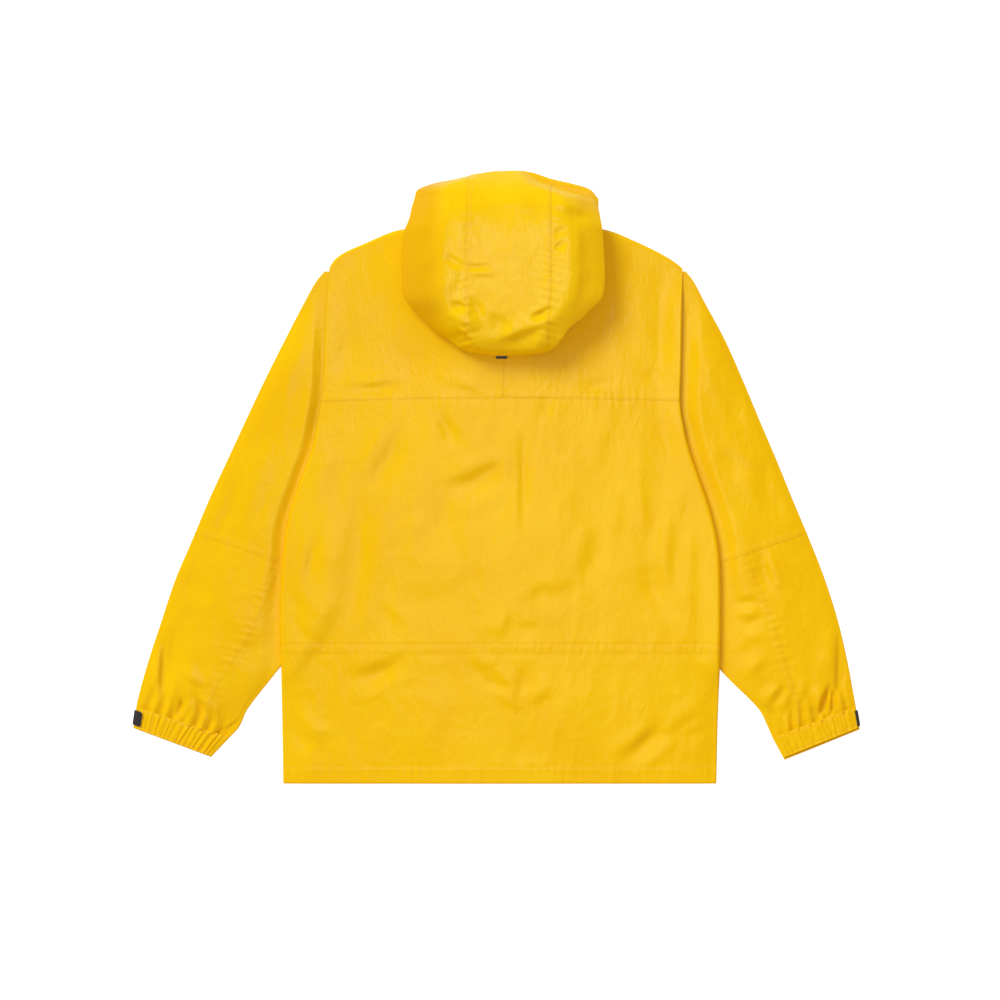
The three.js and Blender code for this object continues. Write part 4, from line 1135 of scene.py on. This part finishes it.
def loopColumns(width):
    top = evenly(0, 0.62, 0.62 * sleeveSettings["spacing"] / width)
    turn = np.linspace(0.62, 0.70, sleeveSettings["round"])
    under = evenly(0.70, 1, 0.3 * sleeveSettings["under"] / width)
    return np.unique(np.round(np.concatenate([top, turn, under]), 6))


def upperSurface(side):
    low, high = upperSleeve["outerY"][0], upperSleeve["outerY"][-1]

    def surface(u, t):
        outerY = lerp(low, high, t)
        outer, inner = sleeveLine(side, upperSleeve, outerY)
        gape = garment["sleeveOpen"] * (1 - smooth(outerY, 150, 280))
        fromElbow = (outerY - low) * 1.12

        def topAt(x, y, distance, width):
            z = sleeveHeight(side, x, y, distance / width, gape, np.full_like(x, 400))
            z = z + overlapRise(fromElbow, 7.2, (1.9, 7.2))
            return z + 0.5 * pucker(distance, 81) * np.exp(-np.abs(fromElbow - 4) / 9)

        return halfLoop(outer, inner, topAt, u)
    return surface


def forearmSurface(side, part):
    low, high = forearm["outerY"][0], forearm["outerY"][-1]
    lap = sleeveSettings["lap"]

    def surface(u, t):
        outerY = lerp(low - lap, high + lap, t)
        outer, inner = sleeveLine(side, forearm, outerY)
        share = along(forearm, "outerY", side, outerY)
        whole = np.linalg.norm(inner - outer, axis=1)
        way = (inner - outer) / whole[:, None]
        seam = outer + way * (whole * share)[:, None] + way * (0 if part == "inner" else lap)
        fold = inner if part == "inner" else outer
        fromCuff = (outerY - low) * 1.12
        fromElbow = (high - outerY) * 1.12

        def topAt(x, y, distance, width):
            across = distance / whole
            place = 1 - across if part == "inner" else across
            z = sleeveHeight(side, x, y, place, garment["sleeveOpen"], fromCuff)
            fromSeam = width - distance
            if part == "inner":
                z = z + overlapRise(fromSeam, 6.8, (1.9, 6.8))
            else:
                z = z - 0.22 * (1 - smooth(fromSeam - lap, 0, 3))
            z = z + 0.55 * pucker(outerY, 91) * np.exp(-fromSeam / 9)
            z = z - 0.22 * (1 - smooth(fromElbow, 0, 3))
            z = z + 0.5 * pucker(distance, 81) * np.exp(-np.abs(fromElbow) / 9)
            return z - 1.2 * (1 - smooth(fromCuff, 0, 6))

        return halfLoop(fold, seam, topAt, u)
    return surface


def sleevePieces(side):
    fine, step = sleeveSettings["fine"], sleeveSettings["spacing"]
    upper = upperSurface(side)
    long = 357.0
    rows = stops((0, 11, fine), (11, long, step)) / long
    pieces = [makeCloth(f"sleeve_upper_{side}", loopColumns(155), rows, upper)]
    long = 234.5
    rows = stops((0, 40, 2.0), (40, long - 5, step), (long - 5, long, fine)) / long
    outer, inner = forearmSurface(side, "outer"), forearmSurface(side, "inner")
    pieces.append(makeCloth(f"sleeve_lower_outer_{side}", loopColumns(85), rows, outer))
    pieces.append(makeCloth(f"sleeve_lower_inner_{side}", loopColumns(70), rows, inner))
    run = np.linspace(0.004, 0.6, 300)
    lines = [stitchRun(upper, run, run * 0 + depth / 1.12 / 357.0) for depth in (1.9, 7.2)]
    down = np.linspace(0.02, 0.985, 300)
    outerEnd, innerEnd = sleeveLine(side, forearm, lerp(forearm["outerY"][0], forearm["outerY"][-1], down))
    share = along(forearm, "outerY", side, lerp(forearm["outerY"][0], forearm["outerY"][-1], down))
    width = np.linalg.norm(innerEnd - outerEnd, axis=1) * (1 - share)
    for depth in (1.9, 6.8):
        lines.append(stitchRun(inner, 0.62 * depth / (width - sleeveSettings["rim"]), down))
    makeStitches(f"stitches_sleeve_{side}", lines)
    return pieces


sleeves = {side: sleevePieces(side) for side in ("left", "right")}
print("sleeves made")

# cuffs and their tabs

cuffSettings = {
    "wall": 1.6,
    "gathers": 17,
    "flat": 3.8,
    "crown": 2.8,
    "drawn": 1.6,
    "shorter": {"left": 0.03, "right": 0.11},
}


def cuffLine(side, t):  # 1 at the seam with the sleeve, 0 at the open end
    start, startInner = sleeveLine(side, forearm, np.array([forearm["outerY"][0] - garment["seamGap"]]))
    startInner = startInner - [0, garment["seamGap"]]
    end = cuffEnd[side]
    outer = lerp(np.array([end["outer"]]), start, t[:, None])
    inner = lerp(np.array([end["inner"]]), startInner, t[:, None])
    return outer, inner


def cuffHeight(side, distance, width, t):
    seed = 7 if side == "left" else 17
    share = distance / width
    pitch = width / cuffSettings["gathers"]
    drift = 1.3 * softNoise(share * 7, share * 0 + 2, seed) + 0.8 * softNoise(share * 17, t * 1.3, seed + 1)
    phase = 2 * math.pi * (distance / pitch + 0.35 * drift)
    uneven = 0.8 + 0.4 * softNoise(share * 9, t * 0 + 5, seed + 2)
    drawn = cuffSettings["drawn"] * (0.72 + 0.28 * np.sin(math.pi * t)) * uneven
    crown = cuffSettings["crown"] * np.sin(math.pi * np.clip(share, 0, 1)) ** 0.7
    ridge = 1 - 1.35 * np.abs(np.cos(phase / 2)) ** 1.3  # rounded ridges with narrow valleys between
    waisted = -0.9 * np.exp(-((1 - t) / 0.09) ** 2) - 0.45 * np.exp(-((t - 0.1) / 0.05) ** 2)
    rumple = 0.3 * softNoise(distance / 5, t * 5, seed + 3)
    return cuffSettings["flat"] + crown + drawn * ridge + waisted + rumple


def cuffSurface(side):
    radius = cuffSettings["flat"] / 2
    parts = {"top": 0.6, "outer": 0.66, "under": 0.94}

    def surface(u, t):
        short = cuffSettings["shorter"][side] * (1 - smooth(u, parts["top"], parts["top"] + 0.03)) * (1 - t)
        outer, inner = cuffLine(side, t + short)
        across = inner - outer
        width = np.linalg.norm(across, axis=1)
        way = across / width[:, None]
        distance = lerp(width - radius, radius, np.clip(u / parts["top"], 0, 1))
        eased = smooth(distance, radius, radius + 5) * smooth(width - distance, radius, radius + 5)
        topZ = lerp(2 * radius, cuffHeight(side, distance, width, t), eased)
        turn = math.pi / 2 + math.pi * np.clip((u - parts["top"]) / (parts["outer"] - parts["top"]), 0, 1)
        underShare = np.clip((u - parts["outer"]) / (parts["under"] - parts["outer"]), 0, 1)
        under = lerp(radius, width - radius, underShare)
        back = -math.pi / 2 + math.pi * np.clip((u - parts["under"]) / (1 - parts["under"]), 0, 1)
        onTop, onOuter = u <= parts["top"], (u > parts["top"]) & (u <= parts["outer"])
        onUnder = (u > parts["outer"]) & (u <= parts["under"])
        alongCuff = np.where(onTop, distance, np.where(onOuter, radius + radius * np.cos(turn),
                 np.where(onUnder, under, width - radius + radius * np.cos(back))))
        z = np.where(onTop, topZ, np.where(onOuter, radius + radius * np.sin(turn),
            np.where(onUnder, 0, radius + radius * np.sin(back))))
        place = outer + way * alongCuff[:, None]
        return np.stack([place[:, 0], place[:, 1], z], axis=1)
    return surface


def cuffPiece(side):
    surface = cuffSurface(side)
    top = evenly(0, 0.6, 0.6 * 1.0 / 118)
    rest = [np.linspace(0.6, 0.66, 7), evenly(0.66, 0.94, 0.02), np.linspace(0.94, 1, 7)]
    columns = np.unique(np.round(np.concatenate([top, *rest]), 6))
    rows = stops((0, 3, 0.8), (3, 23, 2.0), (23, 29, 1.2)) / 29
    piece = makeCloth(f"cuff_{side}", columns, rows, surface, thickness=cuffSettings["wall"], closed=True)
    run = np.linspace(0.01, 0.59, 400)
    lines = [stitchRun(surface, run, run * 0 + t) for t in (0.13, 0.9)]
    makeStitches(f"stitches_cuff_{side}", lines)
    return piece


cuffs = {side: cuffPiece(side) for side in ("left", "right")}

tabSettings = {"left": 10.0, "right": 2.6, "corner": 3.0, "thickness": 1.2, "lift": 0.55}


def tabPiece(side):
    radius = cuffSettings["flat"] / 2
    reach = tabSettings[side]

    def surface(u, t):
        at = lerp(0.16, 0.84, t)
        outer, inner = cuffLine(side, 1 - at)
        width = np.linalg.norm(inner - outer, axis=1)
        way = (inner - outer) / width[:, None]
        end = np.clip((np.abs(2 * t - 1) * 10 - (10 - tabSettings["corner"])) / tabSettings["corner"], 0, 1)
        cut = tabSettings["corner"] * (1 - np.sqrt(1 - end**2)) * (1 if reach > 5 else 0.4)
        lift = tabSettings["lift"] + tabSettings["thickness"]
        flatPart = np.clip(u / 0.6, 0, 1)
        distance = lerp(reach - cut, radius, flatPart)
        eased = smooth(distance, radius, radius + 6)
        top = lerp(2 * radius, cuffSettings["flat"] + 2.0 * smooth(distance, 0, 12), eased)
        angle = math.pi / 2 + (math.pi / 2) * np.clip((u - 0.6) / 0.4, 0, 1)
        onArc = u > 0.6
        alongCuff = np.where(onArc, radius + (radius + lift) * np.cos(angle), distance)
        z = np.where(onArc, radius + (radius + lift) * np.sin(angle), top + lift)
        place = outer + way * alongCuff[:, None]
        return np.stack([place[:, 0], place[:, 1], z], axis=1)

    columns, rows = np.linspace(0, 1, 19), np.linspace(0, 1, 25)
    piece = makeCloth(
        f"cuff_tab_{side}", columns, rows, surface,
        thickness=tabSettings["thickness"], material=blackTape,
    )
    return piece


for side in ("left", "right"):
    tabPiece(side)
print("cuffs made")

# hood

hoodShape = {
    "y": [164, 167, 172, 184, 200, 220, 241, 264, 300, 330, 348, 366, 380, 391, 399, 406, 412, 416],
    "left": [-8, -28, -45, -61, -84, -104, -124, -128.5, -128.5, -126, -119, -115, -111, -106, -84, -50, -29, -4],
    "right": [24, 56, 74, 86, 98, 121, 141, 146, 145, 143, 140.5, 137, 127, 92, 66, 53, 43, 30],
    "crown": [24, 37, 46, 55, 60, 63, 65, 66, 66.5, 66.8, 66.2, 63.6, 57.5, 49.5, 40, 29, 18, 9.5],
}
hoodSeams = {
    "y": [176, 240, 300, 366, 405],
    "left": [-41, -42, -41, -39, -38],
    "right": [70, 73, 74, 74, 74],
}
# creases across and beside the seams: x, y, direction, half length, half width, rise, bend
hoodFolds = [
    (-56, 291, -36, 19, 4.0, -1.8, 0.0),
    (-60, 282, -30, 18, 6, 0.9, 0.0),
    (-26, 283, 0, 24, 3.6, -1.7, 0.0),
    (-24, 276, 0, 24, 4, 1.0, 0.0),
    (-14, 268, -3, 24, 3.6, -0.6, 0.0),
    (-62, 262, 60, 26, 8, 1.4, 0.0),
    (-50, 231, -18, 14, 3.8, -2.8, 0.0),
    (-44, 212, -28, 30, 8, 2.6, 0.0),
    (-23, 226, -58, 22, 6, -2.0, 0.2),
    (-12, 214, -60, 20, 5, 0.9, 0.0),
    (2, 208, -30, 24, 9, -2.2, 0.0),
    (60, 220, 24, 18, 4, -3.0, 0.0),
    (58, 208, 22, 24, 6, 2.0, 0.0),
    (24, 196, 26, 34, 6, 1.6, 0.0),
    (34, 187, 18, 34, 7, -2.8, 0.1),
    (86, 313, 40, 14, 3.2, -1.4, 0.0),
    (86, 332, 20, 14, 4.0, -1.2, 0.0),
    (20, 300, 84, 60, 22, 1.0, 0.0),
    (-88, 330, 60, 44, 12, -1.2, 0.0),
    (-100, 290, 80, 40, 10, 1.0, 0.0),
    (108, 300, 88, 50, 9, 1.6, 0.0),
    (118, 250, 70, 36, 8, -1.4, 0.0),
    (106, 352, -20, 26, 7, -1.6, 0.0),
    (96, 366, -16, 30, 6, 1.2, 0.0),
    (-60, 372, 8, 40, 8, -0.9, 0.0),
    (20, 372, -4, 50, 9, 0.9, 0.0),
    (-46, 190, -40, 16, 4, -2.0, 0.0),
]
hoodSettings = {
    "lap": 1.8, "foldDepth": 1.6, "arch": 2.9, "rimBack": 12.5, "rimTop": 7.0, "tuck": 10.0, "spacing": 2.4,
    "rimLeft": 26, "rimRight": 47,
    "shoulderLeft": 0.58, "shoulderRight": 0.62, "fallLeft": 1.0, "fallRight": 0.85, "wall": 14,
}


def hoodAt(column, y):
    return along(hoodShape, "y", column, y)


def hoodBase(y, angle):
    left, right = hoodAt("left", y), hoodAt("right", y)
    share = np.abs(np.cos(angle)) ** (2 / hoodSettings["arch"])
    x = (left + right) / 2 + (right - left) / 2 * np.sign(np.cos(angle)) * share
    crown = hoodAt("crown", y)
    rim = np.where(x < (left + right) / 2, hoodSettings["rimLeft"], hoodSettings["rimRight"])
    rim = lerp(hoodSettings["rimBack"], rim, smooth(y, 160, 178))
    rim = np.minimum(lerp(rim, hoodSettings["rimTop"], smooth(y, 335, 395)), 0.85 * crown)
    shoulder = np.where(x < (left + right) / 2, hoodSettings["shoulderLeft"], hoodSettings["shoulderRight"])
    past = np.maximum((share - shoulder) / (1 - shoulder), 0)
    most = np.where(x < (left + right) / 2, hoodSettings["fallLeft"], hoodSettings["fallRight"])
    fall = most * (np.sqrt(past**2 + 0.03) - 0.173) / 0.842 + (1 - most) * share ** hoodSettings["wall"]
    return np.stack([x, y, lerp(crown, rim, np.minimum(fall, 1))], axis=1)


def hoodAngle(y, x):
    left, right = hoodAt("left", y), hoodAt("right", y)
    share = np.clip((2 * x - left - right) / (right - left), -1, 1)
    return np.arccos(np.sign(share) * np.abs(share) ** (hoodSettings["arch"] / 2))


def hoodNormal(y, angle):
    bottom, top = hoodShape["y"][0], hoodShape["y"][-1]
    alongY = hoodBase(np.minimum(y + 0.8, top), angle) - hoodBase(np.maximum(y - 0.8, bottom), angle)
    acrossX = hoodBase(y, np.maximum(angle - 0.02, 0)) - hoodBase(y, np.minimum(angle + 0.02, math.pi))
    normal = np.cross(acrossX, alongY)
    return normal / (np.linalg.norm(normal, axis=1)[:, None] + 1e-9)


def hoodRise(x, y, piece):
    rise = hoodSettings["foldDepth"] * foldSum(hoodFolds, x, y) + 1.1 * crinkle(x * 1.2, y, 31)
    for side, outward in (("left", -1), ("right", 1)):
        off = (x - along(hoodSeams, "y", side, y)) * outward  # positive on the side panel
        near = np.abs(off)
        drawn = {"left": 1.0, "right": 1.5}[side] * pucker(y + 0.25 * off, 41 if side == "left" else 47)
        rise = rise + drawn * np.exp(-near / (9 if side == "left" else 12)) * (1 - smooth(y, 330, 380))
        if piece == "centre":
            rise = rise + 0.6 * overlapRise(near, 6.4, (1.8, 6.2))
        elif piece == side:
            rise = rise - 0.3 * (1 - smooth(off, 0, 3)) - 0.2 * (1 - smooth(off, -1.5, 0))
    top = hoodShape["y"][-1]
    return rise * smooth(y, 164, 178) * (1 - 0.8 * smooth(y, 396, top))


def hoodSurface(side):
    seamStart = 176
    bottom = hoodShape["y"][0]
    gap, lap = garment["seamGap"] / 2, hoodSettings["lap"]

    def seamAngle(which, y, offset):
        return hoodAngle(y, along(hoodSeams, "y", which, y) + offset)

    def surface(u, y):
        # past the rim the cloth turns under, towards the neck seam
        if side == "centre":
            gape = smooth(y, 172, seamStart)
            inside = np.maximum(y, bottom)
            start = lerp(math.pi, seamAngle("left", inside, gap), gape)
            end = lerp(0.0, seamAngle("right", inside, -gap), gape)
            angle = lerp(start, end, u)
            under = np.zeros_like(u)
        else:
            inside = y
            seam = seamAngle(side, y, lap if side == "left" else -lap)
            over = np.clip(u / 0.92, 0, 1)
            angle = lerp(seam, math.pi if side == "left" else 0.0, over)
            under = np.clip((u - 0.92) / 0.08, 0, 1)
        place = hoodBase(inside, angle)
        normal = hoodNormal(inside, angle)
        place = place + normal * hoodRise(place[:, 0], place[:, 1], side)[:, None]
        turn = under * math.radians(110)
        tuck = hoodSettings["tuck"] * (1 - 0.6 * smooth(y, 335, 392))
        toMiddle = 1 if side == "left" else -1
        place[:, 0] = place[:, 0] + toMiddle * tuck * (1 - np.cos(turn))
        place[:, 2] = place[:, 2] - tuck * np.sin(turn)
        if side == "centre":
            below = np.clip((bottom - y) / 6, 0, 1) * math.radians(110)
            place[:, 1] = place[:, 1] + tuck * (1 - np.cos(below))
            place[:, 2] = place[:, 2] - tuck * np.sin(below)
        return place
    return surface


def hoodSeamsAndPaintedShade(u, v, places):
    x, y = places[:, 0], places[:, 1]
    fromLeft, fromRight = (np.abs(x - along(hoodSeams, "y", which, y)) for which in ("left", "right"))
    near = np.minimum(fromLeft, fromRight)
    # painted shade over the hood's outer side zones, full on the left and about a third of it on the right
    paintedSideShade = smooth(-x, 54, 96) + 0.35 * smooth(x, 92, 122)
    return np.exp(-near / 2.0) + 4 * paintedSideShade


def hoodPieces():
    step = hoodSettings["spacing"]
    columns = stops((0, 8, 1.2), (8, 116, step), (116, 124, 1.2)) / 124
    rows = stops((158, 164, 1.2), (164, 180, 1.2), (180, 396, step), (396, 416, 1.6))
    surface = hoodSurface("centre")
    centre = makeCloth("hood_centre", columns, rows, surface, edge=hoodSeamsAndPaintedShade, material=crownPaintedLightCloth)
    lines = []
    run = np.linspace(182, 404, 300)
    for side, at in (("left", 1.8), ("left", 6.2), ("right", 1.8), ("right", 6.2)):
        share = at / 118
        lines.append(stitchRun(surface, run * 0 + (share if side == "left" else 1 - share), run))
    makeStitches("stitches_hood", lines)
    pieces = [centre]
    for side, topY in (("left", 408), ("right", 395)):
        columns = stops((0, 6, 1.2), (6, 92, step), (92, 100, 1.3)) / 100
        rows = stops((173.2, 190, 1.4), (190, topY, step))
        panel = hoodSurface(side)
        pieces.append(makeCloth(f"hood_{side}", columns, rows, panel, edge=hoodSeamsAndPaintedShade, material=crownPaintedLightCloth))
    return pieces


hoodCentre, hoodLeft, hoodRight = hoodPieces()


def foldedLayers():  # the rounded heap of hidden layers, from the solid's own form
    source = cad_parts["hood_folds"]
    bm = bmesh.new()
    bm.from_mesh(source.data)
    bmesh.ops.remove_doubles(bm, verts=bm.verts, dist=1e-5)
    bmesh.ops.recalc_face_normals(bm, faces=bm.faces)
    mesh = bpy.data.meshes.new("hood_folded_layers")
    bm.to_mesh(mesh)
    bm.free()
    layer = mesh.uv_layers.get("cloth") or mesh.uv_layers.new(name="cloth")
    points = readPoints(mesh)
    corner = np.empty(len(mesh.loops), int)
    mesh.loops.foreach_get("vertex_index", corner)
    layer.data.foreach_set("uv", points[corner][:, :2].ravel())
    mesh.materials.clear()
    piece = showPiece("hood_folded_layers", mesh, shellCloth, ["hood_folds"])
    soften = piece.modifiers.new("soften", "SUBSURF")
    soften.levels = 1
    soften.render_levels = 1
    return piece


foldedLayers()

brimShape = {
    "x": [-104, -88, -60, -30, -4, 27, 48, 76, 104, 128, 138.5],
    "y": [389, 397, 401.5, 411, 415.4, 417, 414.5, 405.5, 399, 391, 379],
}
brimSettings = {"width": 24, "thickness": 1.6}


def brimSurface(u, t):
    x = lerp(brimShape["x"][0], brimShape["x"][-1], u)
    edgeY = along(brimShape, "x", "y", x)
    bend = np.abs(x - 17.25) / 130
    k = 1 - t
    y = edgeY - brimSettings["width"] * k * (1 - 0.35 * bend)
    z = brimSettings["thickness"] + 6.4 * np.sin(np.minimum(k * 3, 1) * math.pi / 2)
    z = z - 0.35 * np.exp(-(((k * brimSettings["width"] - 6) / 0.9) ** 2))
    z = z + 0.3 * pucker(x, 57) * np.exp(-np.abs(k * brimSettings["width"] - 6) / 7) * smooth(k, 0, 0.1)
    return np.stack([x, y, z], axis=1)


def brimPiece():
    columns = stops((0, 242.5, 2.2)) / 242.5
    rows = stops((0, 14, 2), (14, 24, 1.0)) / 24
    piece = makeCloth("hood_brim", columns, rows, brimSurface, thickness=brimSettings["thickness"])
    run = np.linspace(0.01, 0.99, 300)
    makeStitches("stitches_brim", [stitchRun(brimSurface, run, run * 0 + 1 - 6 / 24)])
    return piece


hoodBrim = brimPiece()

hoodTabSettings = {"width": 15, "length": 7.6, "thickness": 1.8, "low": 160.7}


def hoodTabSurface(u, t):
    x = garment["backCentre"] - 2 + hoodTabSettings["width"] * (u - 0.5)
    y = hoodTabSettings["low"] + hoodTabSettings["length"] * t
    z = backTop(x, y) + 0.6 + hoodTabSettings["thickness"] * (1 - 0.5 * (1 - smooth(t, 0, 0.3)))
    return np.stack([x, y, z], axis=1)


hoodTab = makeCloth("hood_tab", np.linspace(0, 1, 16), np.linspace(0, 1, 10), hoodTabSurface,
                    thickness=hoodTabSettings["thickness"], material=blackTape)
print("hood made")

# floor, light and camera

floorMesh = bpy.data.meshes.new("floor")
floorBm = bmesh.new()
bmesh.ops.create_grid(floorBm, x_segments=1, y_segments=1, size=40)
bmesh.ops.translate(floorBm, verts=floorBm.verts, vec=(0, 0, -0.0003))
floorBm.to_mesh(floorMesh)
floorBm.free()
floor = bpy.data.objects.new("floor", floorMesh)
bpy.context.scene.collection.objects.link(floor)
paleFloor = bpy.data.materials.new("paleFloor")
paleFloor.use_nodes = True
floorShader = paleFloor.node_tree.nodes["Principled BSDF"]
floorShader.inputs["Base Color"].default_value = (0.85, 0.85, 0.85, 1)
floorShader.inputs["Roughness"].default_value = 0.9
floorShader.inputs["Specular IOR Level"].default_value = 0.0
floorShader.inputs["Emission Color"].default_value = (1, 1, 1, 1)
seen = paleFloor.node_tree.nodes.new("ShaderNodeLightPath")
glow = mathNode(paleFloor.node_tree, "MULTIPLY", seen.outputs["Is Camera Ray"], 0.7)
paleFloor.node_tree.links.new(glow, floorShader.inputs["Emission Strength"])
floorMesh.materials.append(paleFloor)

# one broad light from the upper left shapes the cloth, two small ones above only lend it their sheen
keySettings = {"turn": (-49, 0, 38), "strength": 1.9, "spread": 24, "colour": (0.83, 1.0, 1.0)}
sheenSettings = {
    "overBack": {"at": (0.0, -0.115, 1.0), "size": (0.6, 0.46), "power": 3.7},
    "overHood": {"at": (0.02, 0.33, 1.0), "size": (0.22, 0.24), "power": 4.6},
}
skySettings = {"strength": 0.67, "colour": (1.0, 0.87, 0.87, 1)}


def addLamp(name, kind, glossy):
    light = bpy.data.lights.new(name, kind)
    lamp = bpy.data.objects.new(name, light)
    bpy.context.scene.collection.objects.link(lamp)
    lamp.visible_camera = False
    lamp.visible_glossy = glossy
    lamp.visible_diffuse = not glossy
    return lamp


key = addLamp("key", "SUN", False)
key.data.energy = keySettings["strength"]
key.data.angle = math.radians(keySettings["spread"])
key.data.color = keySettings["colour"]
key.rotation_euler = [math.radians(angle) for angle in keySettings["turn"]]
for lampName, lampValues in sheenSettings.items():
    lamp = addLamp(lampName, "AREA", True)
    lamp.data.shape = "ELLIPSE"
    lamp.data.size, lamp.data.size_y = lampValues["size"]
    lamp.data.energy = lampValues["power"]
    lamp.location = lampValues["at"]
world = bpy.data.worlds.new("softSky")
world.use_nodes = True
world.node_tree.nodes["Background"].inputs["Color"].default_value = skySettings["colour"]
world.node_tree.nodes["Background"].inputs["Strength"].default_value = skySettings["strength"]
bpy.context.scene.world = world
bpy.context.scene.view_settings.view_transform = "Standard"

view = {"field": 1.36, "lens": 200.0, "centre": (0.0048, -0.0313)}
cameraData = bpy.data.cameras.new("camera")
cameraData.lens = view["lens"]
cameraData.sensor_width = 36
cameraData.clip_end = 60
camera = bpy.data.objects.new("camera", cameraData)
bpy.context.scene.collection.objects.link(camera)
camera.location = (*view["centre"], view["field"] / 2 * view["lens"] / 18)
bpy.context.scene.camera = camera
print("floor, light and camera made")

# what each sheet was cut to

cutSizes = {
    "back_panel": (backPanel, "laid", ["front_left", "front_right"]),
    "back_lower": (backLower, "laid", ["front_left", "front_right"]),
    "yoke_left": (yokeLeft, "laid", ["front_left"]),
    "yoke_right": (yokeRight, "laid", ["front_right"]),
    "front_left": (frontLeft, "laid", ["storm_flap"]),
    "front_right": (frontRight, "laid", ["storm_flap"]),
    "storm_flap": (stormFlap, "laid", []),
    "hood_centre": (hoodCentre, "folded", ["hood_folds"]),
    "hood_left": (hoodLeft, "folded", ["hood_folds"]),
    "hood_right": (hoodRight, "folded", ["hood_folds"]),
    "hood_brim": (hoodBrim, "folded", []),
}
for side in ("left", "right"):
    for piece in sleeves[side]:
        cutSizes[piece.name] = (piece, "laid", [])
    cutSizes[f"cuff_{side}"] = (cuffs[side], "gathered", [])
for name, (piece, held, rests) in cutSizes.items():
    mesh = piece.data
    area = sum(polygon.area for polygon in mesh.polygons)
    print("cut", name, [round(size, 3) for size in piece["flatSize"]], round(area, 4), len(mesh.polygons))
    wide, long = piece["flatSize"]
    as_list(rests)
